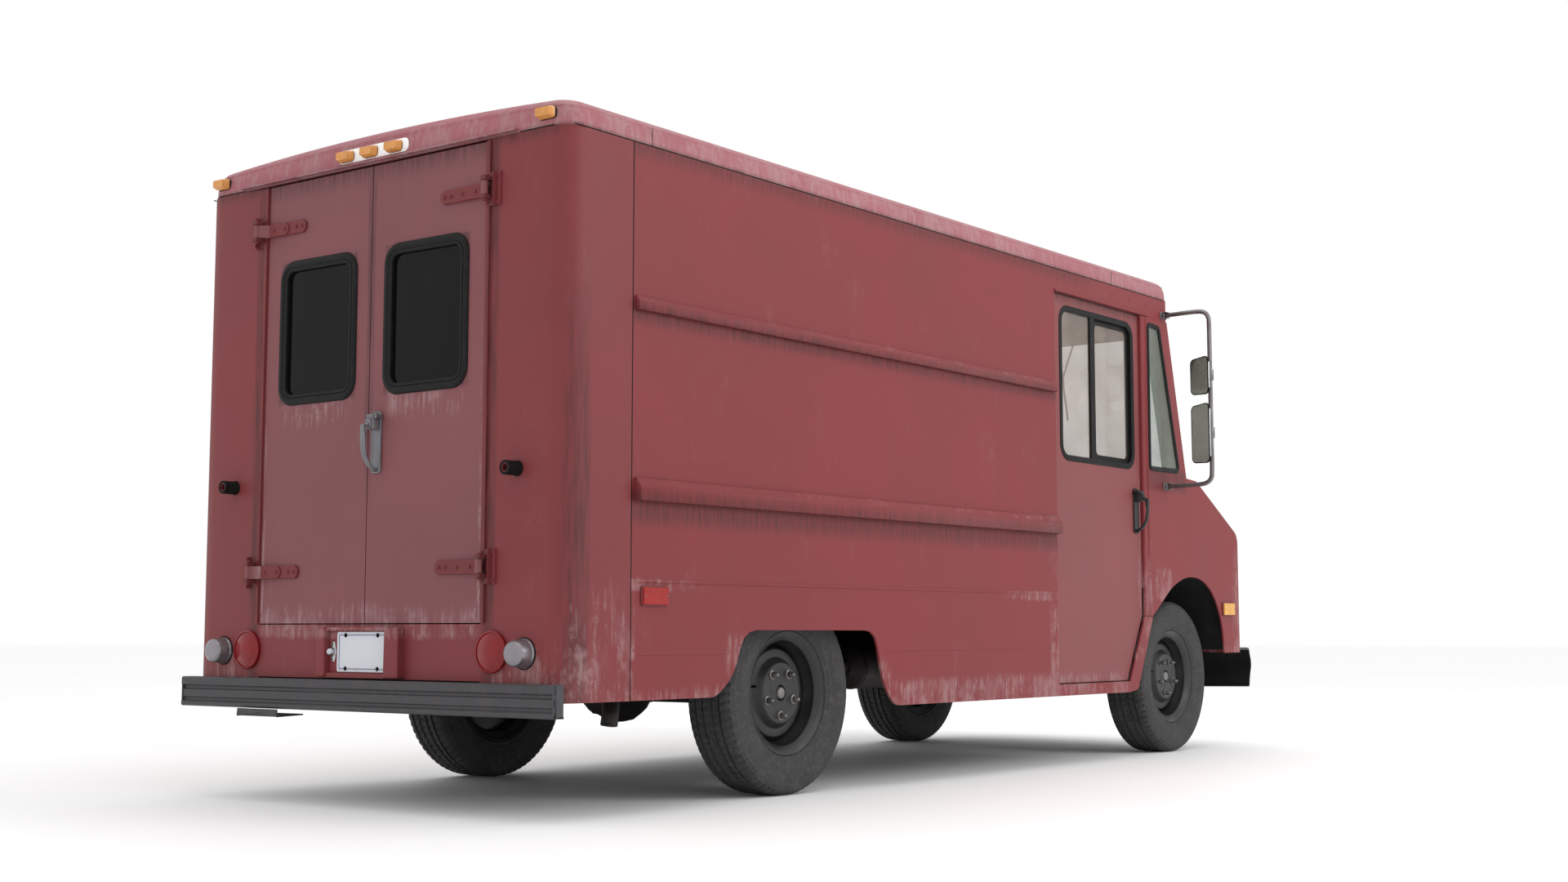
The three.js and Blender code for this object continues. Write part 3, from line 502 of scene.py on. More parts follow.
def lens(name, base, glow=0.0, rib_scale=0):
    """Coloured lamp plastic, moulded with fine ribs when rib_scale (ribs per metre) is given."""
    s = Shader(name)
    colour = s.mix(s.span(s.noise(25, 3), 0.3, 0.7), scaled(base, 0.9), scaled(base, 1.08))
    height = s.noise(300, 2)
    if rib_scale:
        wave = s.node("ShaderNodeTexWave", {"Vector": s.place, "Scale": rib_scale / 6.283},
                      bands_direction="Y", wave_profile="SIN")
        height = wave.outputs["Fac"]
    normal = s.bump(height, 0.5 if rib_scale else 0.03)
    if glow:
        s.surface.inputs["Emission Color"].default_value = base
        s.surface.inputs["Emission Strength"].default_value = glow
    return s.finish(colour, s.span(s.noise(40, 3), 0.3, 0.7, 0.16, 0.32), normal, Coat_Weight=0.15,
                    Coat_Roughness=0.15, Specular_IOR_Level=0.3)


def vinyl(name, base):
    """Seat vinyl: a fine leather grain of cells, with rubbed paler patches."""
    s = Shader(name)
    cells = s.node("ShaderNodeTexVoronoi", {"Vector": s.place, "Scale": 420.0}, feature="DISTANCE_TO_EDGE")
    grain = s.span(cells.outputs["Distance"], 0.0, 0.35)
    rub = s.span(s.noise(6, 5), 0.45, 0.75)
    colour = s.mix(rub, base, scaled(base, 1.9))
    normal = s.bump(grain, 0.25, s.bump(s.noise(30, 4), 0.6))
    return s.finish(colour, s.span(rub, 0, 1, 0.5, 0.38), normal, Sheen_Weight=0.08)


BODY_RED = srgb(124, 49, 52)
POST_RED = srgb(121, 53, 56)
DOOR_RED = srgb(124, 74, 78)
SLIDER_RED = srgb(127, 69, 70)
# A lighter copy of the body red: painted highlight for the up-facing roof cap.
ROOF_RED_LIT = srgb(155, 90, 98)

SEAM_X = 313


def band(axis, low, high, soft):
    """Mask ranges that are full between two stations and fade out over soft on each side."""
    return (axis, low, low - soft), (axis, high, high + soft)


# Rail tops get a pale band, dust plus painted highlight on their up-facing slopes, stronger towards the
# front.
RAIL_TOP_HIGHLIGHT_FADE = ("x", 7000, -3500)
SIDE_DUST_AND_HIGHLIGHT = [
    (("z", 375, 455),),
    (("x", SEAM_X, SEAM_X + 50), ("z", 420, 1100)),
    (*band("x", 3100, 3148, 60), ("z", 450, 1300)),
    (*band("z", 1690, 1707, 10), RAIL_TOP_HIGHLIGHT_FADE),
    (*band("z", 1080, 1102, 10), RAIL_TOP_HIGHLIGHT_FADE),
    (*band("z", 738, 762, 22), ("x", 380, 900)),
    (*band("z", 735, 762, 20), ("x", 3000, 2400)),
    (*band("x", 830, 905, 50), ("z", 540, 650)),
    (*band("x", 1745, 1810, 60), ("z", 430, 560)),
]
# Painted shade under the rails and under the roof cap's overhang, streaked like grime.
SIDE_SHADE_AND_GRIME = [
    band("z", 985, 1026, 60),
    band("z", 1640, 1658, 40),
    (("z", 2223, 2150), ("x", 3300, 3600)),
]
REAR_DUST = [
    (("x", SEAM_X, SEAM_X - 50), ("z", 420, 1100)),
    (("z", 385, 450),),
    (*band("z", 590, 622, 40), ("w", 520, 600)),
    (*band("w", 640, 900, 60), ("z", 440, 660)),
    (*band("w", 930, 934, 30), ("z", 420, 1000)),
]
# Painted shade under the roof cap, in the gaps by the hinges and inside the door jambs, streaked like
# grime.
REAR_SHADE_AND_GRIME = [
    (("z", 2222, 2170), ("x", 0, 40)),
    (*band("w", 585, 610, 25), ("x", 10, 30)),
    (*band("x", 40, 90, 40), ("z", 1200, 2000)),
]
FRONT_DUST = [
    (("x", 5066, 4900), ("z", 850, 1250)),
    (*band("x", 3991, 4060, 30), ("z", 700, 1300)),
    band("z", 484, 505, 50),
    (*band("x", 4120, 4260, 60), *band("z", 760, 880, 50)),
]
# Painted shade under the quarter windows, streaked like grime.
FRONT_SHADE_AND_GRIME = [(*band("z", 1300, 1370, 40), *band("x", 4080, 4420, 80))]
# Pale dust near the rear, and over the whole cap a painted highlight.
ROOF_DUST_AND_HIGHLIGHT = [(("x", 160, 400), ("z", 2225, 2330)), band("z", 2228, 2320, 10)]
# Darker along the cap's foot: its joint, and painted shade in the crease.
ROOF_SHADE_AND_GRIME = [band("z", 2223, 2230, 8)]
DOOR_DUST = [
    (("z", 630, 745),),
    (*band("z", 1370, 1400, 110), *band("w", 120, 440, 60)),
    (*band("w", 552, 562, 14), ("z", 900, 2200)),
]
# Painted shade under the roof header, in the gap between the doors and round the window rubber, streaked
# like grime.
DOOR_SHADE_AND_GRIME = [
    (("z", 2213, 2130),),
    (("w", 6, 30), ("z", 1400, 900)),
    (*band("w", 80, 480, 14), *band("z", 1412, 1915, 14)),
]
SLIDER_DUST = [
    (("z", 372, 450),),
    (("x", 3128, 3200), ("z", 900, 2200)),
    (("x", 3989, 3920), ("z", 1100, 1700)),
]
# Painted shade under the door gutter, streaked like grime.
SLIDER_SHADE_AND_GRIME = [(("z", 2118, 2060),)]

# Every material, by the short name that the pieces below use.
M = {
    "side": paint("side_paint", BODY_RED, SIDE_DUST_AND_HIGHLIGHT, SIDE_SHADE_AND_GRIME),
    "rear": paint("rear_paint", POST_RED, REAR_DUST, REAR_SHADE_AND_GRIME),
    "front": paint("front_paint", BODY_RED, FRONT_DUST, FRONT_SHADE_AND_GRIME),
    "roof": paint("roof_paint", ROOF_RED_LIT, ROOF_DUST_AND_HIGHLIGHT, ROOF_SHADE_AND_GRIME, chalk=0.2, gloss=0.42),
    "door": paint("door_paint", DOOR_RED, DOOR_DUST, DOOR_SHADE_AND_GRIME),
    "slider": paint("slider_paint", SLIDER_RED, SLIDER_DUST, SLIDER_SHADE_AND_GRIME),
    "trim": paint("trim_paint", scaled(POST_RED, 0.86), [(("z", 300, 700),)], chalk=0.05),
    "bumper": metal("bumper_steel", srgb(62, 60, 63), 0.55, 0.1, 0.18, 90, 0.22),
    "black": metal("chassis_black", srgb(20, 19, 19), 0.7, 0.1, 0.35, 120, 0.12),
    # Near-black matte: floors, and painted shade on the bumper's back, under the rear sill and in the
    # exhaust mouth.
    "dark": metal("undercoat_and_shade", srgb(9, 9, 9), 0.95, 0.0, 0.3, 60, 0.02),
    "casting": metal("oily_casting", srgb(36, 33, 31), 0.7, 0.4, 0.35, 90, 0.2),
    "exhaust": metal("rusty_pipe", srgb(42, 38, 36), 0.65, 0.4, 0.3, 70, 0.25),
    "wheel": metal("wheel_paint", srgb(44, 44, 45), 0.42, 0.3, 0.22, 150, 0.14),
    "hub": metal("worn_nuts", srgb(120, 118, 116), 0.4, 0.7, 0.25, 200, 0.5),
    "handle": metal("grey_casting", srgb(118, 118, 122), 0.38, 0.7, 0.22, 260, 0.25),
    "handle_black": metal("black_casting", srgb(22, 22, 23), 0.45, 0.15, 0.2, 260, 0.1),
    "chrome": metal("dull_chrome", srgb(186, 188, 192), 0.2, 0.95, 0.08, 40, 0.12),
    "tube": metal("mirror_tube", srgb(120, 116, 116), 0.3, 0.75, 0.2, 120, 0.3),
    "mirror": metal("mirror_glass", srgb(178, 174, 166), 0.14, 0.8, 0.05, 12, 0.04),
    "aluminium": metal("worn_aluminium", srgb(150, 148, 145), 0.45, 0.8, 0.12, 220, 0.3),
    "gasket": rubber("window_rubber", srgb(19, 19, 20), 0.5, 0.03, sheen=0.18),
    "seal": rubber("black_seal", srgb(17, 16, 16), 0.65, 0.03, sheen=0.15),
    "tyre": rubber("tyre_rubber", srgb(62, 61, 61), 0.85, 0.14, 60),
    "plastic": rubber("moulded_plastic", srgb(44, 43, 42), 0.5, 0.15, 60),
    "screen": glass("screen_glass", srgb(150, 160, 148), 0.26, spec=0.3),
    "side_glass": glass("side_glass", srgb(168, 156, 146), 0.3, spec=0.3),
    # Painted shade: near-black, nearly opaque glass stands in for the dark cargo space behind the rear
    # windows.
    "rear_glass": glass("rear_glass", srgb(12, 12, 13), 0.96, spec=0.12),
    "red": lens("red_lens", srgb(124, 12, 18), 0.0),
    "red_ribbed": lens("red_marker_lens", srgb(150, 26, 20), 0.02, 900),
    "amber": lens("amber_lens", srgb(206, 142, 76), 0.03),
    "amber_ribbed": lens("amber_marker_lens", srgb(214, 156, 70), 0.04, 900),
    "clear": metal("silvered_lens", srgb(138, 134, 138), 0.26, 0.7, 0.1, 30, 0.08),
    "white": paint("white_plate", srgb(205, 208, 214), [(("z", 455, 500),)], chalk=0.05),
    "backing": paint("white_backing", srgb(250, 250, 248), chalk=0.02),
    "blue": paint("blue_border", srgb(52, 70, 120), chalk=0.05),
    "vinyl": vinyl("seat_vinyl", srgb(38, 35, 34)),
}


# ---------------------------------------------------------------- stage, light and camera
def stage():
    floor_shader = Shader("studio_floor")
    tone = floor_shader.span(floor_shader.noise(0.6, 4), 0.3, 0.7, 0.0, 1.0)
    colour = floor_shader.mix(tone, (0.95, 0.949, 0.947, 1), (0.97, 0.969, 0.967, 1))
    material = floor_shader.finish(colour, 0.7, floor_shader.bump(floor_shader.noise(90, 3), 0.1))
    data = bpy.data.meshes.new("floor")
    half = 60
    corners = [(-half, -half, 0), (half, -half, 0), (half, half, 0), (-half, half, 0)]
    data.from_pydata(corners, [], [(0, 1, 2, 3)])
    data.materials.append(material)
    floor = bpy.data.objects.new("floor", data)
    bpy.context.scene.collection.objects.link(floor)


def area_light(name, at, towards, size, power):
    """A white disc of light; the places and the size are in metres, the power in watts."""
    lamp = bpy.data.lights.new(name, "AREA")
    lamp.shape = "DISK"
    lamp.size = size
    lamp.energy = power
    obj = bpy.data.objects.new(name, lamp)
    obj.location = at
    obj.rotation_euler = (Vector(towards) - Vector(at)).to_track_quat("-Z", "Y").to_euler()
    bpy.context.scene.collection.objects.link(obj)


def lights():
    sky = bpy.data.worlds.new("studio")
    bpy.context.scene.world = sky
    sky.use_nodes = True
    background = sky.node_tree.nodes["Background"]
    background.inputs["Color"].default_value = (1, 1, 1, 1)
    background.inputs["Strength"].default_value = 1.0
    area_light("overhead", (-1, -1, 8), (0, 0, 0), 7, 140)
    area_light("right_key", (2.5, -9, 5), (0.3, -0.5, 1), 5, 230)
    bpy.context.scene.view_settings.view_transform = "Standard"


CAMERA_AT = (-4390.8, -5124.5, 606.0)
CAMERA_YAW, CAMERA_PITCH = math.radians(37.155), math.radians(5.5755)
CAMERA_SENSOR, CAMERA_LENS = 36, 44.18


def camera():
    """The photographer's place: low, off the right rear corner, looking forward and up."""
    view = bpy.data.cameras.new("camera")
    view.sensor_width = CAMERA_SENSOR
    view.lens = CAMERA_LENS
    view.clip_end = 300
    obj = bpy.data.objects.new("camera", view)
    obj.location = world(*CAMERA_AT)
    level = math.cos(CAMERA_PITCH)
    ahead = Vector((level * math.cos(CAMERA_YAW), level * math.sin(CAMERA_YAW), math.sin(CAMERA_PITCH)))
    obj.rotation_euler = ahead.to_track_quat("-Z", "Y").to_euler()
    bpy.context.scene.collection.objects.link(obj)
    bpy.context.scene.camera = obj


# ---------------------------------------------------------------- rear face
def rear_windows():
    hole = {"y": (97, 461), "z": (1427, 1900), "radius": 45}
    section = [(-13, -11), (-13, 3), (-9, 7), (-3, 7.5), (0, 4.5), (3, 5), (8, 9.5), (16, 10), (23, 7),
               (26, 2), (26, -1), (0, -1)]
    for name, side in SIDES.items():
        a, b = sorted(side * y for y in hole["y"])
        frame_line = rectangle(a, b, *hole["z"])
        body = f"rear_door_{name}"
        add_mesh(f"rear_gasket_{name}", moulding(frame_line, hole["radius"], section, on_rear()),
                 M["gasket"], body)
        pane = rounded(grown(frame_line, -4), hole["radius"] - 4)
        # Near-black panes, outer and inner: painted shade for the dark space behind.
        add_mesh(f"rear_glass_{name}", prism(pane, on_rear(), -11.6, -8), M["rear_glass"], body)
        add_mesh(f"rear_glass_inner_{name}", prism(pane, on_rear(), -21, -17.4), M["rear_glass"], body)
        inner = [(-11, -21.5), (-11, -31), (14, -33), (14, -30.2), (-3, -30.2), (-3, -21.5)]
        add_mesh(f"rear_gasket_inner_{name}", moulding(frame_line, hole["radius"], inner, on_rear()),
                 M["gasket"], body)


def strap_hinge(name, side, z):
    """Layered strap with a pointed end on the door, and a flanged bracket with a pin on the post."""
    half = 23
    face = on_rear()
    s = side

    def pointed(y_root, y_tip):
        return [(s * y_root, z - half), (s * (y_tip + 14), z - half), (s * y_tip, z - 9),
                (s * y_tip, z + 9), (s * (y_tip + 14), z + half), (s * y_root, z + half)]

    body = f"rear_door_{name}"
    level = "upper" if z > 1500 else "lower"
    strap = [prism(pointed(546, 351), face, 0.3, 9.4), prism(pointed(548, 441), face, 8.4, 14.5)]
    add_mesh(f"hinge_strap_{level}_{name}", strap, M["trim"], body, bevel=1.6)
    heads = [p for y in (372, 402) for p in bolt(raised(face, 9), s * y, z, 6.5, 6)]
    heads += [p for y in (462, 524) for p in bolt(raised(face, 14), s * y, z, 6.5, 6)]
    add_mesh(f"hinge_bolts_{level}_{name}", heads, M["trim"], body)
    knuckle = rod((-35, s * 590, z - 37), (-35, s * 590, z + 37), 5.5)
    caps = [turning([(9, 0), (9, 3), (6, 6), (0.2, 7)],
                    lambda a, b, h, e=e: (-35 + a, s * 590 + b, z + e * (37 + h)), 16)
            for e in (1, -1)]
    add_mesh(f"hinge_pin_{level}_{name}", [knuckle, *caps], M["trim"])
    flange = loft([[face(s * y, z + k * 56, h) for y, h in ((613, 7.5), (618, 7.5), (617, 24), (614, 24))]
                   for k in (-1, 1)])
    plate = raised(face, 8)
    studs = [p for y in (622, 574) for dz in (-45, 45) for p in bolt(plate, s * y, z + dz, 6, 5)]
    add_mesh(f"hinge_bracket_{level}_{name}", [flange, *studs], M["trim"], bevel=1.2)


def handle(name, place, material, body, replaced):
    """Pull handle: rimmed plate, hub block with key cylinder, and a curved flat grip standing off."""
    plate = rectangle(-24, 24, -107, 107)
    rim = dished(plate, 12, [(-1.5, 0.4), (0, 2), (0, 6), (-1.5, 8), (-5, 8), (-6.5, 5.5), (-20, 5.5)],
                 place)
    hub = dished(rectangle(-17, 15, 42, 96), 5, [(0, 5), (0, 34), (-3, 38), (-8, 39)], place, 4)
    boss = dished(rectangle(-17, 15, 46, 84), 8, [(-3, 36), (-3, 44), (-6, 48)], place, 4)
    half = 107
    spine = smooth_path([(0, half - 34, 30), (0, half - 50, 52), (0, half - 76, 64), (0, 0, 65),
                         (0, -half + 62, 58), (0, -half + 34, 42), (0, -half + 16, 20),
                         (0, -half + 12, 5)], 5)
    rings = []
    for i, point in enumerate(spine):
        along = (spine[min(i + 1, len(spine) - 1)] - spine[max(i - 1, 0)]).normalized()
        out = Vector((1, 0, 0)).cross(along)
        swell = 1 + 0.35 * math.sin(math.pi * i / (len(spine) - 1))
        rings.append([place(*(point + Vector((1, 0, 0)) * a * swell + out * b))
                      for a, b in ellipse(9, 6.5, 14)])
    grip = loft(rings)
    thumb = dished(rectangle(-10, 10, 18, 58), 6, [(0, 58), (0, 68), (-3, 71)], place, 4)
    obj = add_mesh(name, [rim, hub, boss, grip, thumb], material, body)
    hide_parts(replaced)
    cylinder = turning([(9, 0), (9, 5), (7.5, 6), (5, 6), (5, 4.6), (0.2, 4.6)],
                       moved(place, -24, 86, 30), 20)
    stem = rod(place(-24, 86, 5), place(-24, 86, 31), 8, 16)
    studs = [p for b in (-98, 99) for p in screw(raised(place, 5.4), 0, b, 5)]
    add_mesh(f"{name}_lock", [cylinder, stem, *studs], material, body)


def handles():
    handle("rear_handle", moved(on_rear(), -48, 1242), M["handle"], "rear_door_right", "rear_door_handle")
    for name, side in SIDES.items():
        place = moved(on_side(side, SIDE_DOOR_Y), 3935, 1166)
        handle(f"side_pull_{name}", place, M["handle_black"], f"side_door_{name}", f"side_handle_{name}")


def bump_stops():
    for name, side in SIDES.items():
        place = moved(on_rear(), side * 723, 1119)
        sleeve = turning([(12.8, 13), (12.8, 56), (15, 59), (21, 59.5), (24, 57), (24, 48), (23, 46),
                          (24, 44), (24, 8), (26, 3), (26, 0.3), (22.4, 0.3)],
                         place, 32)
        add_mesh(f"bump_stop_{name}", sleeve, M["seal"])


def roof_cap():
    """Pressed cap: corners round in plan like the body's, and a soft shoulder up to a slight crown."""
    plan = [(0, -HALF_WIDTH), (4277, -HALF_WIDTH), (4277, HALF_WIDTH), (0, HALF_WIDTH)]
    corners = [85, 24, 24, 85]
    profile = [(-400, 2308), (-60, 2300), (-9, 2290), (-9, 2223), (-0.5, 2223), (0, 2224), (0, 2240),
               (-1.5, 2258), (-6, 2276), (-14, 2292), (-26, 2304), (-42, 2312), (-66, 2317), (-160, 2318),
               (-420, 2318), (-760, 2318)]
    foot, edge, crown = 2240, 2318, 33.5
    rings = []
    for d, z in profile:
        radii = [max(8, r + 0.6 * d) for r in corners]
        arch = crown * max(0, z - foot) / (edge - foot)
        rings.append([(x, y, z + arch * (1 - (y / HALF_WIDTH) ** 2))
                      for x, y in divided(rounded(grown(plan, d), radii, 9), 10, 24)])
    shell = add_mesh("roof_shell", loft(rings), M["roof"], crease=50)
    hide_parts("roof_cap")
    drip = [prism([(-20, 2226.5), (-20, 2230.5), (-17, 2232), (-3, 2240), (2, 2240), (2, 2226.5)],
                  lambda a, b, h: (a, h, b), -704, 713)]
    add_mesh("drip_rail", drip, M["roof"], bevel=1)


def drip_rail_rivets():
    row = [rivet(on_rear(14), y, 2246, 5) for y in range(-680, 700, 92)]
    add_mesh("drip_rail_rivets", row, M["roof"])


def clearance_lamp(name, y, z):
    place = moved(on_rear(1.5), y, z)
    base = dished(rectangle(-38, 38, -21, 21), 14, [(0, 0), (0, 3), (-3, 5)], place, 5)
    add_mesh(f"{name}_base", base, M["seal"])
    shell = dished(rectangle(-35, 35, -19, 19), 9, [(0, 3), (-1, 17), (-6, 26), (-13, 31)], place, 3)
    add_mesh(f"{name}_lens", shell, M["amber"], crease=25)


def clearance_lamps():
    backing = dished(rectangle(-178, 182, 2243, 2291), 20, [(0, 0), (0, 2.6), (-1, 3.2)], on_rear(1))
    add_mesh("clearance_backing", backing, M["backing"])
    for i, y in enumerate((138, 14, -112)):
        clearance_lamp(f"clearance_{i}", y, 2266)
    for name, side in SIDES.items():
        clearance_lamp(f"corner_lamp_{name}", side * 840, 2265)


def tail_lamps():
    for name, side in SIDES.items():
        place = moved(on_rear(), side * 622, 532)
        bezel = turning([(68, 0.3), (69, 4), (69, 11), (66, 14), (62, 14.5), (61, 11), (61, 0.3)],
                        place, 64)
        add_mesh(f"tail_bezel_{name}", bezel, M["red"])
        steps = 15
        ridges = []
        for k in range(steps):
            r = 60.5 - k * 4
            dome = 12 + 13 * (1 - (r / 61) ** 2)
            ridges += [(r, dome), (r - 2, dome + 0.5)]
        lens_part = turning([(60.8, 1), *ridges, (0.2, 26)], place, 64)
        shell = add_mesh(f"tail_glass_{name}", lens_part, M["red"], crease=60)
        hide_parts(f"tail_lamp_{name}")
        backup = moved(on_rear(), side * 764, 528)
        cone = turning([(49, 0.3), (49, 5), (46, 8), (45, 12), (43, 44), (39, 54), (31, 60), (18, 63),
                        (0.2, 64)],
                       backup, 56)
        add_mesh(f"backup_lamp_{name}", cone, M["clear"], crease=50)
        ring_part = turning([(52, 0.3), (52, 3), (49.5, 4.4), (49.2, 0.3)], backup, 48)
        add_mesh(f"backup_seal_{name}", ring_part, M["seal"])


def number_plate():
    """A blank plate with a raised edge; its real lettering is left out."""
    face = on_rear(-9)
    plate = rectangle(-129, 124, 459, 596)
    body = dished(plate, 8, [(0, 0.3), (0, 2.2), (-0.8, 3), (-3, 3), (-4.2, 2), (-8, 2)], face)
    add_mesh("number_plate", body, M["white"])
    border = moulding(grown(plate, -10), 5, [(0, 1.8), (0, 2.8), (-2.2, 2.8), (-2.2, 1.8)], face)
    add_mesh("number_plate_border", border, M["blue"])
    heads = [p for y in (-84, 80) for z in (471, 584) for p in bolt(raised(face, 2.2), y, z, 5, 4.5)]
    add_mesh("number_plate_bolts", heads, M["seal"])
    columns = [dished([(y0, 442), (y1, 442), (y1 - 2, 610), (y0 + 2, 610)], 6,
                      [(0, 22), (0, 29), (-2, 31.5), (-4, 32)], on_rear(),
                      4) for y0, y1 in ((168, 213), (-205, -134))]
    add_mesh("plate_columns", columns, M["rear"])
    lamp = moved(on_rear(-9), 146, 528)
    bullet = turning([(17, 0.3), (18, 3), (15, 5), (14, 9), (14, 14), (10, 22), (5, 25), (0.2, 25.6)],
                     lamp, 32)
    ears = dished([(-9, -34), (9, -34), (17, 0), (9, 34), (-9, 34), (-17, 0)], 4,
                  [(0, 0.3), (0, 2), (-1, 2.6)], lamp, 3)
    add_mesh("plate_lamp", [bullet, ears], M["chrome"])
    studs = [p for b in (-26, 26) for p in screw(raised(lamp, 2.4), 0, b, 3.5)]
    add_mesh("plate_lamp_screws", studs, M["hub"])


def rear_bumper_details():
    # Near-black plate under the rear sill: painted shade closing the view under the body.
    apron = block(12, 16, -600, 600, 372, 442)
    add_mesh("rear_sill_shade_plate", apron, M["dark"])
    caps = [block(-49.5, -3, *y_range(s, 935.5, 942), 328, 432) for s in (-1, 1)]
    add_mesh("bumper_end_caps", caps, M["bumper"], bevel=2)
    stay = [prism([(-60, 380), (-60, 600), (90, 560), (90, 420)], on_top(0), 300, 305),
            prism([(-60, 380), (-60, 600), (-55, 600), (-55, 380)], on_top(0), 300, 326)]
    add_mesh("bumper_step_stay", stay, M["bumper"], bevel=1.5)


def seams():
    """Sealed joints between panels: slim dark strips just proud of the paint."""
    strips = [block(SEAM_X - 1.5, SEAM_X + 2.5, *y_range(s, 933.7, 934.6), 374, 2222) for s in (-1, 1)]
    strips += [block(24, 4262, *y_range(s, 933.6, 934.5), 2221.2, 2225) for s in (-1, 1)]
    strips += [block(-0.6, 0.4, *y_range(s, 715, 868), 2221.2, 2225) for s in (-1, 1)]
    strips += [block(3994, 4076, *y_range(s, 933.8, 934.6), 665.5, 668.5) for s in (-1, 1)]
    for x in (404, 3700):
        strips += [block(x, x + 2.5, *y_range(s, 933.7, 934.5), 2225, 2286) for s in (-1, 1)]
    add_mesh("panel_seams", strips, M["seal"])


# ---------------------------------------------------------------- body sides
def bead(place, a0, a1, b, width=14, height=4, upright=False):
    """A half-round bead with soft ends, along a or, when upright, along b."""
    section = [(-width / 2, -0.5), (-width * 0.35, height * 0.6), (0, height), (width * 0.35, height * 0.6),
               (width / 2, -0.5)]
    rings = []
    for t, low in ((0, 0.05), (0.006, 0.75), (0.012, 1), (0.988, 1), (0.994, 0.75), (1, 0.05)):
        at = a0 + (a1 - a0) * t
        line = [(v, h * low if h > 0 else h) for v, h in section]
        rings.append([place(b + v, at, h) if upright else place(at, b + v, h) for v, h in line])
    return loft(rings)


RAILS = {"upper": (325, 3131, 1658, 1705, 20), "lower": (327, 3146, 1026, 1100, 30)}


def rub_rail(place, x0, x1, z0, z1, proud):
    """The pressed rail's rounded outer skin: square below, sloped above, with turned-in ends."""
    line = [(z0 - 0.8, 1), (z0 - 1, proud - 4), (z0 - 0.4, proud - 1), (z0 + 2, proud + 0.5),
            (z0 + 5, proud + 0.9), (z1 - proud - 4, proud + 0.9), (z1 - proud + 1, proud + 0.3),
            (z1 - proud + 5, proud - 3), (z1 - 6, proud * 0.35 + 4), (z1 - 1, proud * 0.35 + 0.6),
            (z1 + 0.4, proud * 0.35 - 2), (z1 + 0.8, 0.5)]
    rings = []
    for x, shrink in ((x0 - 0.8, 0.0), (x0 - 0.4, 0.9), (x0 + 2.5, 1.0), (x1 - 2.5, 1.0), (x1 + 0.4, 0.9),
                      (x1 + 0.8, 0.0)):
        rings.append([place(x, z, 0.4 + h * shrink if shrink else 0.4) for z, h in line])
    return loft(rings, wrap=False, caps=False)


def side_beads():
    for name, side in SIDES.items():
        place = on_side(side)
        for level, sizes in RAILS.items():
            add_mesh(f"{level}_rail_skin_{name}", rub_rail(place, *sizes), M["side"],
                     crease=70)
        beads = [bead(place, 345, 3130, 762), bead(place, 345, 828, 523, 10, 1.8),
                 bead(place, 1790, 3120, 523, 10, 1.8)]
        add_mesh(f"side_beads_{name}", beads, M["side"])
        posts = [bead(place, 670, 2116, 3999, 12, 5, True), bead(place, 670, 2116, 4045, 12, 5, True)]
        add_mesh(f"pillar_beads_{name}", posts, M["front"])
        gutter = prism([(3146, 2119), (4066, 2119), (4066, 2127), (3146, 2127)], place, -12, 9)
        add_mesh(f"door_gutter_{name}", gutter, M["side"], bevel=2.5)
        rows = [rivet(place, x, 2172, 4.5) for x in range(3180, 4240, 175)]
        add_mesh(f"header_rivets_{name}", rows, M["side"])


def marker(name, side, x0, x1, z0, z1, material):
    place = on_side(side)
    inner = rectangle(x0, x1, z0, z1)
    base = moulding(grown(inner, -6), 4, [(0, -0.4), (0, 7), (6, 5), (6, -0.4)], place, 3)
    add_mesh(f"{name}_bezel", base, M["trim"])
    body = dished(grown(inner, -5), 3, [(0, 0.3), (0, 9), (-1.5, 11), (-5, 12)], place, 3)
    add_mesh(f"{name}_lens", body, material)
    add_mesh(f"{name}_screws", [p for x in (x0 + 12, x1 - 12)
                                for p in screw(raised(place, 11.5), x, (z0 + z1) / 2, 3)], M["hub"])


def markers():
    for name, side in SIDES.items():
        marker(f"rear_marker_{name}", side, 360, 495, 680, 748, M["red_ribbed"])
        marker(f"front_marker_{name}", side, 4858, 4996, 672, 742, M["amber_ribbed"])


def panel_with_hole(outer, hole, place, h0, h1):
    """A flat panel with one opening, filled by triangles and given thickness."""
    mesh = bmesh.new()
    for loop in (outer, hole):
        verts = [mesh.verts.new((a, b, 0)) for a, b in loop]
        for i, v in enumerate(verts):
            mesh.edges.new((v, verts[(i + 1) % len(verts)]))
    bmesh.ops.triangle_fill(mesh, use_beauty=True, use_dissolve=False, edges=mesh.edges)
    mesh.verts.index_update()
    flat = [(v.co.x, v.co.y) for v in mesh.verts]
    faces = [tuple(v.index for v in f.verts) for f in mesh.faces]
    mesh.free()
    count = len(flat)
    points = ring(flat, place, h0) + ring(flat, place, h1)
    faces += [tuple(i + count for i in f) for f in faces]
    for start, size in ((0, len(outer)), (len(outer), len(hole))):
        for i in range(size):
            a, b = start + i, start + (i + 1) % size
            faces.append((a, b, b + count, a + count))
    return points, faces


SIDE_WINDOW = {"x": (3226, 3921), "z": (1376, 2056), "radius": 62}


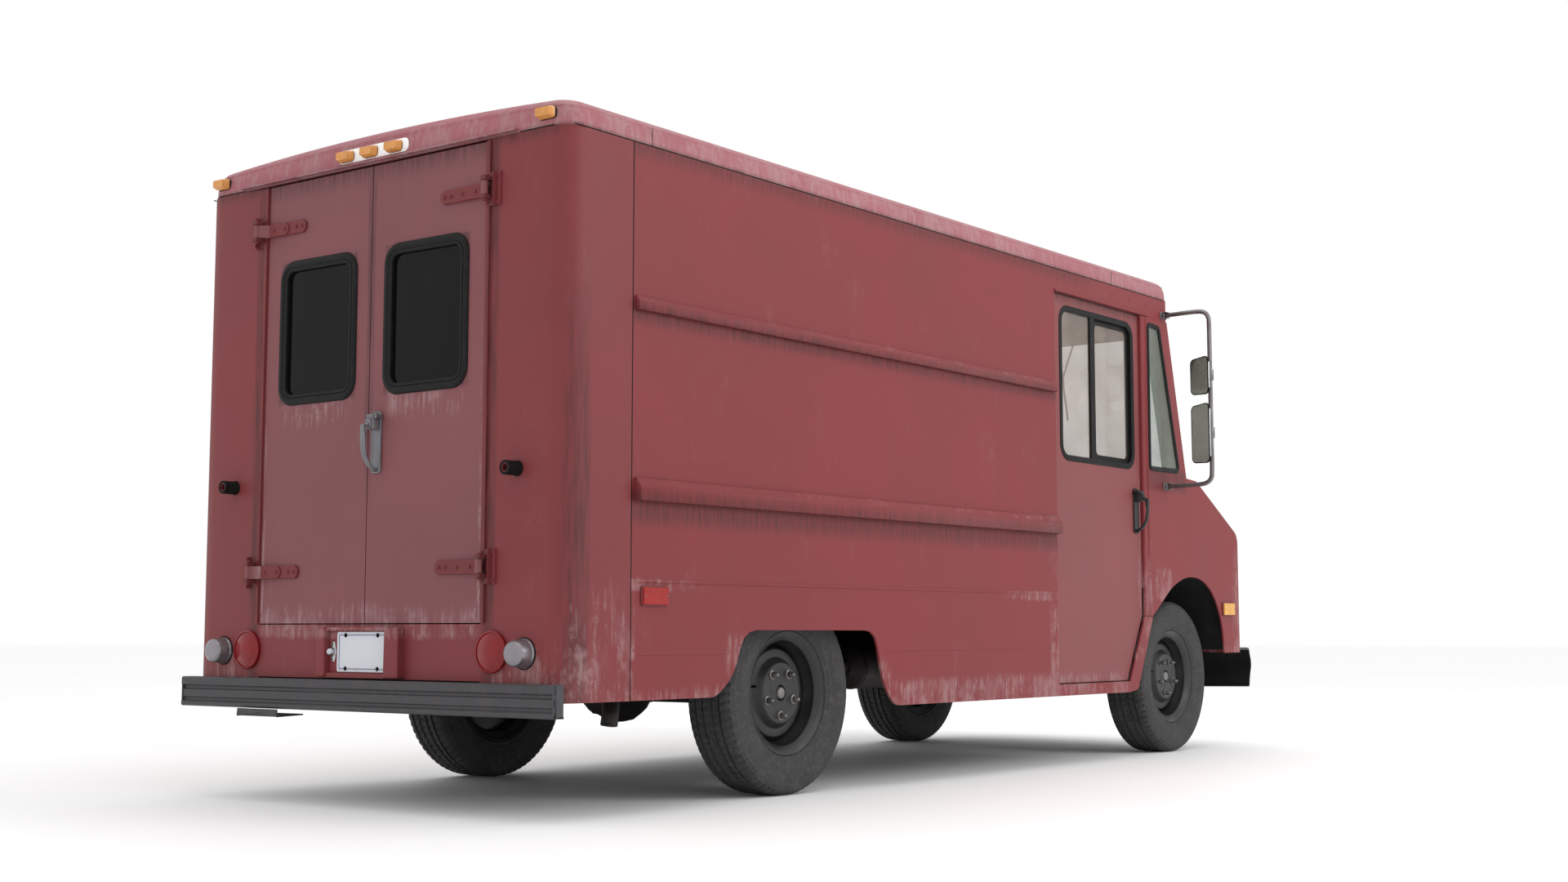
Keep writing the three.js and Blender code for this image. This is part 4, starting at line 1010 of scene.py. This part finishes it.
def side_doors():
    outer = [(3128, 366), (3826, 366), (3989, 672), (3989, 2114), (3128, 2114)]
    hole = rounded(rectangle(*SIDE_WINDOW["x"], *SIDE_WINDOW["z"]), SIDE_WINDOW["radius"], 9)
    window = rectangle(*SIDE_WINDOW["x"], *SIDE_WINDOW["z"])
    for name, side in SIDES.items():
        place = on_side(side, SIDE_DOOR_Y)
        body = f"side_door_{name}"
        leaf = add_mesh(f"sliding_leaf_{name}", panel_with_hole(outer, hole, place, -30, 0), M["slider"],
                        body, bevel=1.5)
        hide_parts(f"side_door_{name}")
        section = [(-12, -30), (-12, 1), (-8, 3.4), (-3, 3.7), (1, 2.4), (6, 4), (12, 3.6), (15, 1.6),
                   (15, -0.5), (0.3, -0.5), (0.3, -30)]
        add_mesh(f"side_gasket_{name}", moulding(window, SIDE_WINDOW["radius"], section, place, 9),
                 M["gasket"], body)
        fixed_pane = rounded(rectangle(3229, 3546, 1379, 2053), 40)
        add_mesh(f"fixed_pane_{name}", prism(fixed_pane, place, -11, -7.5), M["side_glass"], body)
        bar = [prism(rectangle(3504, 3548, 1372, 2060), place, -12.5, 1.5),
               prism(rectangle(3548, 3558, 1372, 2060), place, -12.5, -3)]
        add_mesh(f"window_bar_{name}", bar, M["gasket"], body, bevel=1.5)
        slider(name, side)


def slider(name, side):
    """The front pane slides rearward in its own slim frame."""
    line = rectangle(3552, 3916, 1383, 2049)
    place = on_side(side, SIDE_DOOR_Y)
    section = [(0, -24), (0, -14.5), (-3, -13.6), (-25, -13.6), (-28, -15), (-28, -23), (-25, -24)]
    window = add_mesh(f"slider_frame_{name}", moulding(line, 52, section, place, 8), M["gasket"],
                      f"side_window_{name}")
    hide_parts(f"side_window_{name}")
    pane = rounded(grown(line, -24), 28)
    add_mesh(f"slider_pane_{name}", prism(pane, place, -20.5, -17), M["side_glass"], f"side_window_{name}")
    latch = dished(rectangle(3562, 3582, 1690, 1750), 6, [(0, -25), (0, -32), (-3, -35)], place, 4)
    add_mesh(f"slider_latch_{name}", latch, M["plastic"], f"side_window_{name}")


def quarter_windows():
    line = [(4061, 1371), (4392, 1375), (4192, 2084), (4061, 2092)]
    section = [(-19, -3), (-19, 2), (-14, 5.5), (-8, 6), (-5, 4), (-1, 5), (3, 3.5), (4, 1), (4, -0.5),
               (-2, -0.5), (-2, -3)]
    for name, side in SIDES.items():
        add_mesh(f"quarter_gasket_{name}", moulding(line, 30, section, on_side(side), 7), M["gasket"])


# ---------------------------------------------------------------- wheels
def tyre_profile():
    """(radius, height, shoulder) down the outboard half; height is across the tyre."""
    sidewall = [(205, 58, 0), (219, 63, 0), (227, 75, 0), (231, 86, 0), (236, 89, 0), (240, 88, 0),
                (246, 91, 0), (249, 93.4, 0), (252, 92.6, 0), (266, 99, 0), (285, 103.6, 0), (304, 105, 0),
                (322, 104, 0), (334, 102, 0), (337, 103.2, 0), (340, 102, 0), (348, 98.4, 0), (355, 95, 0),
                (359, 92.5, 1), (363, 88, 1), (367, 82, 1), (369.5, 75, 1), (370, 66, 1), (370, 60, 0)]
    tread = [(361, 56, 0), (361, 50, 0), (370.3, 48, 0), (370.6, 34, 2), (370.6, 26, 2), (362, 24, 0),
             (362, 17, 0), (371, 15, 0), (371, 8, 2)]
    return sidewall + tread


def tyre(name, place, body, replaced):
    half = tyre_profile()
    full = half + [(r, -h, k) for r, h, k in reversed(half)]
    blocks = 76
    per = 5
    steps = blocks * per
    depth = {0: (0,) * per, 1: (0, 0, 0, 7, 7), 2: (0, 5, 5, 0, 0)}
    rings = []
    for j in range(steps):
        angle = 2 * math.pi * j / steps
        c, s = math.cos(angle), math.sin(angle)
        line = [(r - depth[k][j % per], h) for r, h, k in full]
        rings.append([place(r * c, r * s, h) for r, h in line])
    obj = add_mesh(name, loft(rings, wrap=False, loop=True), M["tyre"], body, crease=50)
    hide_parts(replaced)


def wheel(name, place, body, replaced):
    barrel = [(226, 82), (230, 79), (228, 74), (219, 70), (206, 66), (199, 60), (197, 34), (190, 26),
              (187, -44), (196, -60), (219, -70), (225, -80), (220, -82), (212, -74), (190, -64),
              (181, -48), (181, 8), (184, 22), (191, 36), (193, 60), (203, 70), (219, 79)]
    disc = [(182, -18), (176, -14), (170, 0), (166, 17), (160, 24), (152, 26), (132, 26), (124, 32),
            (117, 46), (110, 52), (100, 53), (90, 50), (70, 48), (52, 50), (36, 52), (31, 52), (28, 49),
            (28, 30), (24, 30), (24, 43), (21, 48), (12, 51), (0.3, 52)]
    parts = [turning(barrel, place, 96, loop=True),
             turning(disc + [(0.3, 12), (150, 12), (160, -22)], place, 96)]
    obj = add_mesh(name, parts, M["wheel"], body, crease=32)
    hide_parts(replaced)
    cap = turning([(23.5, 40), (23, 50), (19, 55), (8, 57.5), (0.2, 58)], place, 32)
    add_mesh(f"{name}_spindle_cap", cap, M["hub"], body)
    nuts = []
    for k in range(5):
        angle = 2 * math.pi * (k + 0.75) / 5
        spot = moved(place, 83 * math.cos(angle), 83 * math.sin(angle), 10)
        nuts.append(turning([(19, 38), (18, 43), (14, 44.5), (13, 42)], spot, 24))
        hexagon = ellipse(11.5, 11.5, 6)
        small = [(a * 0.8, b * 0.8) for a, b in hexagon]
        nuts.append(loft([ring(hexagon, spot, 42), ring(hexagon, spot, 56), ring(small, spot, 59)]))
        nuts.append(turning([(8.5, 58), (8, 64), (5, 67.5), (0.2, 68.5)], spot, 16))
    add_mesh(f"{name}_nuts", nuts, M["hub"], body)
    stem_root = place(-152, 26, 28)
    stem_tip = place(-156, 27, 50)
    add_mesh(f"{name}_valve", [rod(stem_root, stem_tip, 5, 12), rod(stem_tip, place(-158, 27, 60), 4, 12)],
             M["seal"], body)


def wheels():
    for name, side in SIDES.items():
        for end, x in (("front", FRONT_AXLE_X), ("rear", REAR_AXLE_X)):
            def place(a, b, h, x=x, side=side):
                return (x + a, side * (TRACK_Y + h), TYRE_RADIUS + b)
            body = f"{end}_road_wheel_{name}"
            tyre(f"tyre_{end}_{name}", place, body, f"{end}_tyre_{name}")
            wheel(f"wheel_{end}_{name}", place, body, f"{end}_wheel_{name}")


# ---------------------------------------------------------------- mirrors, wipers, screen
MIRROR_X = 4240
MIRROR_Y = 1178
HEADS = {"upper": (1735, 1929), "lower": (1401, 1700)}


def mirror_arm(name, side):
    def y(v):
        return side * v
    route = [(MIRROR_X, y(946), 2146), (MIRROR_X, y(1060), 2149), (MIRROR_X, y(1128), 2148),
             (MIRROR_X, y(1158), 2139), (MIRROR_X, y(1173), 2118), (MIRROR_X, y(MIRROR_Y), 2080),
             (MIRROR_X, y(MIRROR_Y), 1900), (MIRROR_X, y(MIRROR_Y), 1550), (MIRROR_X, y(MIRROR_Y), 1370),
             (MIRROR_X, y(1172), 1330), (MIRROR_X, y(1154), 1312), (MIRROR_X, y(1122), 1304),
             (MIRROR_X, y(1040), 1301), (MIRROR_X, y(946), 1300)]
    arm = add_mesh(f"mirror_bow_{name}", pipe(route, 11, (1, 0, 0), 18, 6), M["tube"], f"mirror_arm_{name}")
    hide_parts(f"mirror_arm_{name}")
    fork = []
    for z in (2146, 1300):
        base = dished(rectangle(MIRROR_X - 34, MIRROR_X + 34, z - 17, z + 17), 8,
                      [(0, 0.4), (0, 3.5), (-1, 4.2)], on_side(side), 4)
        lugs = [prism(rounded(rectangle(MIRROR_X - 16, MIRROR_X + 16, *y_range(side, 936, 966)), 6),
                      on_top(z), dz, dz + 3) for dz in (11.6, -14.6)]
        pin = rod((MIRROR_X, y(950), z - 18), (MIRROR_X, y(950), z + 18), 5)
        fork += [base, *lugs, pin]
        fork += [p for dx in (-26, 26) for p in bolt(raised(on_side(side), 3.8), MIRROR_X + dx, z, 5.5, 5)]
    add_mesh(f"mirror_feet_{name}", fork, M["tube"])


def mirror_head(level, name, side):
    """Rounded casing with a thin bright rim and a flat glass that looks rearward and inward."""
    low, high = HEADS[level]
    turn = math.radians(25)
    across = Vector((math.sin(turn), -side * math.cos(turn), 0))
    facing = Vector((-math.cos(turn), -side * math.sin(turn), 0))
    origin = Vector((MIRROR_X, side * MIRROR_Y, 0))

    def place(a, b, h):
        point = origin + across * a + facing * h
        return (point.x, point.y, b)

    body = f"{level}_mirror_{name}"
    outline = [(-12, low + 2), (118, low + 8), (120, high - 12), (-12, high - 1)]
    shell = dished(outline, 26, [(-9, 12.4), (-3, 13.4), (0, 17), (0, 22), (-1.4, 24.4), (-3.4, 24.8),
                                 (-4.4, 23.4), (-4.6, 21.6)], place, 7)
    case = add_mesh(f"{level}_casing_{name}", shell, M["seal"], body)
    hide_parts(body)
    pane = dished(outline, 26, [(-4.8, 21.8), (-4.8, 22.9)], place, 7)
    add_mesh(f"{level}_mirror_glass_{name}", pane, M["mirror"], body)
    edge = smooth_path([place(-12.6, low + 34, 17), place(-12.9, (low + high) / 2, 18),
                        place(-12.6, high - 34, 17)])
    strip = swept(edge, ellipse(1.6, 4.5, 10), tuple(across))
    add_mesh(f"{level}_mirror_trim_{name}", strip, M["chrome"], body)
    mid = (low + high) / 2
    clamp = turning([(12.4, -26), (16, -26), (17, -23), (17, 23), (16, 26), (12.4, 26)],
                    lambda a, b, h: (MIRROR_X + a, side * MIRROR_Y + b, mid + h), 24, loop=True)
    lug = prism(rounded(rectangle(8, 40, mid - 16, mid + 16), 4, 4), place, 9, 12.6)
    add_mesh(f"{level}_mirror_clamp_{name}", [clamp, lug], M["tube"], body)


def mirrors():
    for name, side in SIDES.items():
        mirror_arm(name, side)
        for level in HEADS:
            mirror_head(level, name, side)


COWL = (4472, 1354)
SCREEN_TOP = (4278, 2130)


def on_screen(side=1):
    """Places on the windscreen: a across the van, b up the slope from the cowl, h out from it."""
    run = Vector((SCREEN_TOP[0] - COWL[0], SCREEN_TOP[1] - COWL[1])).normalized()
    return lambda a, b, h: (COWL[0] + run.x * b + run.y * h, side * a, COWL[1] + run.y * b - run.x * h)


def wipers():
    for name, side in SIDES.items():
        place = on_screen(side)
        body = f"wiper_{name}"
        arm = pipe([place(420, 770, 15), place(402, 738, 19), place(355, 652, 20), place(316, 566, 15)],
                   4.5, (1, 0, 0), 10, 5)
        hub = turning([(14, 1), (14, 16), (11, 22), (4, 24), (0.2, 24)], moved(place, 420, 770), 24)
        yoke = pipe([place(306, 650, 8), place(310, 560, 18), place(306, 470, 8)], 3.5, (1, 0, 0), 8, 5)
        blade = prism(rounded(rectangle(306, 314, 334, 738), 3, 3), place, 4, 11)
        edge = prism(rectangle(309, 311.5, 334, 738), place, 0.5, 5)
        obj = add_mesh(f"wiper_arm_{name}", [arm, hub, yoke, blade, edge], M["seal"], body)
        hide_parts(f"wiper_{name}")


def windscreen_gaskets():
    section = [(-14, -42), (-14, 2), (-9, 6), (-2, 7), (3, 4), (8, 6), (14, 4), (16, 0), (16, -1.5),
               (-2, -1.5), (-2, -42)]
    for name, side in SIDES.items():
        line = rectangle(20, 842, 50, 735)
        shape = moulding(line, 24, section, on_screen(side), 6)
        add_mesh(f"screen_gasket_{name}", shape, M["gasket"])


# ---------------------------------------------------------------- nose and front bumper
def headlamps():
    face = on_front(5065)
    for name, side in SIDES.items():
        spot = moved(face, side * 640, 800)
        bezel = turning([(112, 0.3), (112, 6), (106, 12), (96, 14), (90, 11), (88, 4), (88, 0.3)], spot, 64)
        add_mesh(f"headlamp_bezel_{name}", bezel, M["chrome"])
        bowl = turning([(87.6, 1), (87, 9), (78, 18), (60, 24), (34, 28), (0.2, 30)], spot, 64)
        add_mesh(f"headlamp_glass_{name}", bowl, M["clear"])
        turn = moved(face, side * 640, 590)
        ring_part = turning([(50, 0.3), (50, 6), (45, 9), (42, 6), (42, 0.3)], turn, 48)
        add_mesh(f"turn_bezel_{name}", ring_part, M["chrome"])
        dome = turning([(41.8, 1), (41, 9), (32, 17), (16, 21), (0.2, 22)], turn, 40)
        add_mesh(f"turn_lens_{name}", dome, M["amber"])


def grille():
    line = rectangle(-446, 446, 640, 946)
    surround = moulding(line, 14, [(0, 0.3), (0, 8), (6, 11), (16, 9), (22, 3), (22, 0.3)],
                        on_front(5065), 5)
    add_mesh("grille_surround", surround, M["trim"])
    mesh_bars = [rod((5036, y, 652), (5036, y, 936), 3, 8) for y in range(-420, 421, 42)]
    add_mesh("grille_mesh", mesh_bars, M["black"])


def hood_details():
    lever = dished(rectangle(-38, 38, 1073, 1081), 3, [(0, 1), (0, 14), (-1, 16)], on_front(5058), 3)
    add_mesh("hood_catch", lever, M["handle_black"], "hood")


def bowed(section, half, steps=36):
    """An (x, z) section carried across the van: bowed rearward, flatter and lifted towards the ends."""
    rings = []
    for k in range(steps + 1):
        t = 2 * k / steps - 1
        bow = 5233 - 30 * t * t - 14 * max(0, abs(t) - 0.93) / 0.07
        crown = 1 - 0.4 * t ** 4
        lift = 10 * t * t
        rings.append([(bow + x * crown, half * t, z + lift * (507 - z) / 213) for x, z in section])
    return loft(rings)


def front_bumper():
    """Pressed plate with turned-back edges, and a near-black sheet on its back as painted shade."""
    half = 930
    outer = [(0, 505), (7, 494), (18, 470), (34, 448), (42, 425), (40, 402), (22, 372), (8, 340), (0, 306),
             (-4, 297), (-12, 294), (-28, 294)]
    inner = [(x - 4.5, z + (3.5 if z < 300 else 0)) for x, z in reversed(outer)]
    section = [(-30, 509), (-10, 509), *outer, *inner, (-12, 505), (-30, 505)]
    obj = add_mesh("chrome_bumper", bowed(section, half), M["chrome"], crease=45)
    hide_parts("front_bumper")
    # A near-black matte sheet behind the chrome: painted shade on the bumper's back.
    lining = [(x - 5.5, z) for x, z in outer[1:-1]]
    lining += [(x - 8, z) for x, z in reversed(outer[1:-1])]
    add_mesh("bumper_back_shade", bowed(lining, half - 3), M["dark"], crease=45)
    stays = []
    for s in (-1, 1):
        stays += [block(5174.5, 5226, s * 401, s * 439, 425, 470),
                  block(5196, 5226, s * 401, s * 439, 390, 560)]
    add_mesh("front_bumper_stays", stays, M["black"], bevel=2)
    heads = [p for s in (-1, 1) for z in (400, 448)
             for p in bolt(on_front(5266 if z < 430 else 5258), s * 420, z, 9, 7)]
    add_mesh("front_bumper_bolts", heads, M["chrome"])


# ---------------------------------------------------------------- cab
def steering_wheel():
    tilt = 0.72
    centre = Vector((3935, 470, 1210))
    forward = Vector((math.cos(tilt), 0, math.sin(tilt)))
    up = Vector((-math.sin(tilt), 0, math.cos(tilt)))
    left = Vector((0, 1, 0))

    def place(a, b, h):
        return tuple(centre + left * a + forward * b + up * h)

    rim_radius = 212
    turns = 72
    rings = []
    for j in range(turns):
        angle = 2 * math.pi * j / turns
        grip = 12.5 - (0.9 if j % 3 == 0 else 0)
        c, s = math.cos(angle), math.sin(angle)
        rings.append([place((rim_radius + u) * c, (rim_radius + u) * s, v)
                      for u, v in ellipse(grip, grip, 12)])
    rim = loft(rings, loop=True)
    spokes = []
    for angle in (0, math.pi, -math.pi / 2):
        c, s = math.cos(angle), math.sin(angle)
        path = [place(r * c, r * s, h) for r, h in ((30, 2), (90, -6), (160, -5), (208, 0))]
        across = Vector(place(-s, c, 0)) - centre
        spokes.append(swept(smooth_path(path, 4), ellipse(15, 4.5, 12), tuple(across)))
    hub = turning([(40, -24), (48, -12), (48, 2), (42, 9), (26, 13), (0.2, 14)], place, 40)
    column = turning([(19, -20), (19, -480), (0.2, -480)], place, 24)
    obj = add_mesh("cab_steering_wheel", [rim, *spokes, hub, column], M["plastic"], "steering_wheel")
    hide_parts("steering_wheel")


def cushion(name, low, high, lean, body, replaced, welts):
    """A stuffed vinyl pad: a subdivided box, swollen by cloth pressure, then dressed with piping."""
    mesh = bmesh.new()
    bmesh.ops.create_cube(mesh, size=1)
    size = high - low
    centre = (low + high) / 2
    for v in mesh.verts:
        v.co = Vector((v.co.x * size.x, v.co.y * size.y, v.co.z * size.z))
    bmesh.ops.subdivide_edges(mesh, edges=mesh.edges, cuts=9, use_grid_fill=True)
    bmesh.ops.bevel(mesh, geom=[e for e in mesh.edges if e.is_manifold and e.calc_face_angle(0) > 1],
                    offset=14 * MM, segments=3, affect="EDGES")
    data = bpy.data.meshes.new(name)
    mesh.to_mesh(data)
    mesh.free()
    data.shade_smooth()
    data.materials.append(M["vinyl"])
    obj = bpy.data.objects.new(name, data)
    bpy.context.scene.collection.objects.link(obj)
    swell(obj, size)
    crown(obj, size)
    for v in obj.data.vertices:
        v.co = centre + Matrix.Rotation(lean, 3, "Y") @ v.co
    smooth = obj.modifiers.new("soft", "SUBSURF")
    smooth.levels = smooth.render_levels = 1
    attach(obj, body)
    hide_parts(replaced)
    piping(name, centre, size, lean, body, welts)


def swell(obj, size):
    """Cloth pressure fills the pad; no point may move further than the cap."""
    remesh = obj.modifiers.new("even mesh", "REMESH")
    remesh.mode = "VOXEL"
    remesh.voxel_size = 9 * MM
    apply_modifiers(obj)
    before = [v.co.copy() for v in obj.data.vertices]
    cloth = obj.modifiers.new("cloth", "CLOTH")
    cloth.settings.use_pressure = True
    cloth.settings.uniform_pressure_force = 4
    cloth.settings.effector_weights.gravity = 0
    cloth.settings.quality = 5
    scene = bpy.context.scene
    for step in range(1, 16):
        scene.frame_set(step)
    apply_modifiers(obj)
    scene.frame_set(1)
    cap = 22 * MM
    for v, start in zip(obj.data.vertices, before):
        move = v.co - start
        v.co = start + move * min(1, cap / max(move.length, 1e-9))
    grown_size = [max(abs(v.co[i]) for v in obj.data.vertices) * 2 for i in range(3)]
    for v in obj.data.vertices:
        v.co = Vector([v.co[i] * size[i] / grown_size[i] for i in range(3)])


def apply_modifiers(obj):
    depsgraph = bpy.context.evaluated_depsgraph_get()
    data = bpy.data.meshes.new_from_object(obj.evaluated_get(depsgraph))
    obj.modifiers.clear()
    obj.data = data
    data.shade_smooth()


def crown(obj, size):
    """Sides pull in between the corners, sewn channels dip the top, and the vinyl creases a little."""
    along = 0 if size.x >= size.z else 2
    thin = 2 if along == 0 else 0
    for v in obj.data.vertices:
        u, w = v.co.y / (size.y / 2), v.co[along] / (size[along] / 2)
        pull = 0.035 * (1 - min(1, w * w))
        v.co.y *= 1 - pull
        v.co[along] *= 1 - 0.03 * (1 - min(1, u * u))
        top = v.co[thin] / (size[thin] / 2)
        channel = sum(math.exp(-((w - c) / 0.035) ** 2) for c in (-0.5, 0, 0.5))
        v.co[thin] -= math.copysign(7 * MM, v.co[thin]) * channel * max(0, abs(top) - 0.3) * (1 - u ** 4)
        v.co[thin] += noise.noise(v.co * 14) * 2 * MM


def piping(name, centre, size, lean, body, height):
    """The sewn cord round the pad's widest line."""
    along = 0 if size.x >= size.z else 2
    thin = 2 - along
    half = [size[along] / 2 / MM - 7, size.y / 2 / MM - 7]
    line = rounded(rectangle(-half[0], half[0], -half[1], half[1]), 30, 6)
    count = len(line)
    spine = []
    for i in range(count):
        a, b = line[i]
        point = Vector((0, 0, 0))
        point[along], point.y, point[thin] = a * MM, b * MM, height * MM
        spot = centre + Matrix.Rotation(lean, 3, "Y") @ point
        spine.append(Vector(((spot.x - REAR_FACE) / MM, spot.y / MM, spot.z / MM)))
    rings = []
    normal = Matrix.Rotation(lean, 3, "Y") @ Vector([1.0 if i == thin else 0.0 for i in range(3)])
    for i, point in enumerate(spine):
        run = (spine[(i + 1) % count] - spine[i - 1]).normalized()
        across = run.cross(normal)
        rings.append([tuple(point + across * a + normal * b) for a, b in ellipse(4, 4, 8)])
    add_mesh(f"{name}_piping", loft(rings, loop=True), M["seal"], body)


def seat():
    low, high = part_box("seat_cushion")
    inset = Vector((0.006, 0.006, 0.002))
    cushion("driver_cushion", low + inset, high - inset, 0.0, "seat", "seat_cushion", 18)
    low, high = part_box("seat_back")
    centre = (low + high) / 2
    lean = math.atan2(-94, 564)
    length = 0.55
    half = Vector((0.044, (high.y - low.y) / 2 - 0.006, length / 2))
    cushion("driver_backrest", centre - half, centre + half, lean, "seat_back", "seat_back", 14)
    plate = [dished(rectangle(3390, 3790, 300, 640), 16, [(0, 0), (0, 3.2)], on_top(880.4), 4)]
    add_mesh("seat_slides", plate, M["black"], "seat")


def dashboard():
    """Instrument pod, dials, needles, vents and knobs on the plain dash."""
    face = on_rear(4250)
    pod = dished(rectangle(360, 580, 1160, 1282), 14, [(0, -20), (0, 10), (-4, 14)], face)
    add_mesh("instrument_pod", pod, M["plastic"])
    dials = []
    for y, r in ((520, 42), (425, 42)):
        spot = moved(face, y, 1222, 14)
        dials.append(turning([(r, -1), (r, 4), (r - 3, 5), (r - 5, 1.5), (0.2, 1.5)], spot, 40))
    add_mesh("instrument_dials", dials, M["chrome"])
    needles = [swept([Vector(moved(face, y, 1222, 17)(0, 0, 0)),
                      Vector(moved(face, y, 1222, 17)(14, 22, 0))],
                     ellipse(1.2, 1.2, 6), (1, 0, 0)) for y in (520, 425)]
    add_mesh("instrument_needles", needles, M["red"])
    vents = [prism(rounded(rectangle(y, y + 110, z, z + 5), 2, 3), face, 0.4, 5)
             for y in (-560, 60) for z in range(1176, 1240, 12)]
    add_mesh("dash_vents", vents, M["seal"])
    knobs = [turning([(11, 0.3), (11, 12), (8, 16), (0.2, 17)], moved(face, y, 1200), 20)
             for y in (300, 260, 220)]
    add_mesh("dash_knobs", knobs, M["plastic"])


def engine_cover_details():
    latches = []
    for s in (-1, 1):
        place = on_side(s, 278)
        for x in (3960, 4300):
            latches.append(dished(rectangle(x, x + 32, 700, 770), 5, [(0, 0.3), (0, 6), (-3, 9)], place, 3))
    add_mesh("engine_cover_latches", latches, M["aluminium"])


# ---------------------------------------------------------------- under the body
def exhaust():
    lead = pipe([(4300, -262, 560), (4000, -300, 440), (3600, -470, 420), (3000, -560, 430),
                 (2650, -560, 430)], 27)
    tail = pipe([(2100, -560, 450), (1700, -545, 480), (1300, -545, 486), (900, -550, 460),
                 (620, -600, 430), (450, -730, 395), (385, -784, 330),
                 (372, -790, 289)], 29, (0, 0, 1), 20, 8)
    drum = turning([(40, 2030), (60, 2046), (84, 2062), (88, 2075), (90, 2078), (88, 2081), (88, 2660),
                    (90, 2663), (88, 2668), (62, 2690),
                    (40, 2704)], lambda a, b, h: (h, -560 + a, 450 + b), 32)
    bore = turning([(26, 4), (26, -1), (24, -1), (24, 4)], lambda a, b, h: (372 + a, -790 + b, 289 + h), 20)
    obj = add_mesh("exhaust_line", [lead, tail, drum, bore], M["exhaust"])
    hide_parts("exhaust")
    # Near-black disc in the pipe's end: soot, and painted shade for the hollow bore.
    mouth = turning([(25.5, 0.2), (25.5, 0.9), (0.2, 0.9)],
                    lambda a, b, h: (372 + a, -790 + b, 288.6 - h), 24)
    add_mesh("exhaust_mouth", mouth, M["dark"])


def axle_details():
    plate = turning([(96, 0), (96, 8), (88, 18), (60, 30), (20, 36), (0.2, 37)],
                    lambda a, b, h: (REAR_AXLE_X - 110 - h, a, TYRE_RADIUS + b), 32)
    heads = []
    for k in range(10):
        angle = 2 * math.pi * k / 10
        heads += bolt(lambda a, b, h: (REAR_AXLE_X - 118 - h, a, TYRE_RADIUS + b), 88 * math.cos(angle),
                      88 * math.sin(angle), 7, 6)
    add_mesh("axle_cover", [plate, *heads], M["casting"])
    clamps = []
    for s in (-1, 1):
        for x in (REAR_AXLE_X, FRONT_AXLE_X):
            for dx in (-60, 60):
                for y in (388, 452):
                    clamps.append(rod((x + dx, s * y, 380), (x + dx, s * y, 470), 7, 10))
    add_mesh("spring_bolts", clamps, M["casting"])


def dress_frame():
    dress([f"body_side_{n}" for n in SIDES], M["side"], 0)
    dress([f"front_side_{n}" for n in SIDES], M["front"], 1.5)
    dress(["nose_shell", "hood", "windscreen_frame"], M["front"], 2.5)
    dress("rear_frame", M["rear"], 2.0)
    dress([f"rear_door_{n}" for n in SIDES], M["door"], 1.5)
    dress(["chassis_frame", "radiator"], M["black"], 3.0)
    dress(["cab_floor", "cargo_floor"], M["dark"], 1.5)
    dress(["engine", "rear_axle", "front_axle", "knuckle_right", "knuckle_left"], M["casting"], 4.0)
    dress(["fuel_tank", "prop_shaft"], M["exhaust"], 5.0)
    dress("rear_bumper", M["bumper"], 1.6)
    dress(["dashboard", "engine_cover"], M["plastic"], 8.0)
    dress(["brake_pedal", "accelerator_pedal"], M["seal"], 2.0)
    dress("windscreen", M["screen"], 0.4)
    dress([f"quarter_glass_{n}" for n in SIDES], M["screen"], 0.4)


def body_details():
    rear_windows()
    for name, side in SIDES.items():
        for z in HINGE_HEIGHTS:
            strap_hinge(name, side, z)
    handles()
    bump_stops()
    roof_cap()
    drip_rail_rivets()
    clearance_lamps()
    tail_lamps()
    number_plate()
    rear_bumper_details()
    seams()
    side_beads()
    markers()
    side_doors()
    quarter_windows()


camera()
lights()
stage()
dress_frame()
body_details()
wheels()
mirrors()
wipers()
windscreen_gaskets()
headlamps()
grille()
hood_details()
front_bumper()
steering_wheel()
seat()
dashboard()
engine_cover_details()
exhaust()
axle_details()
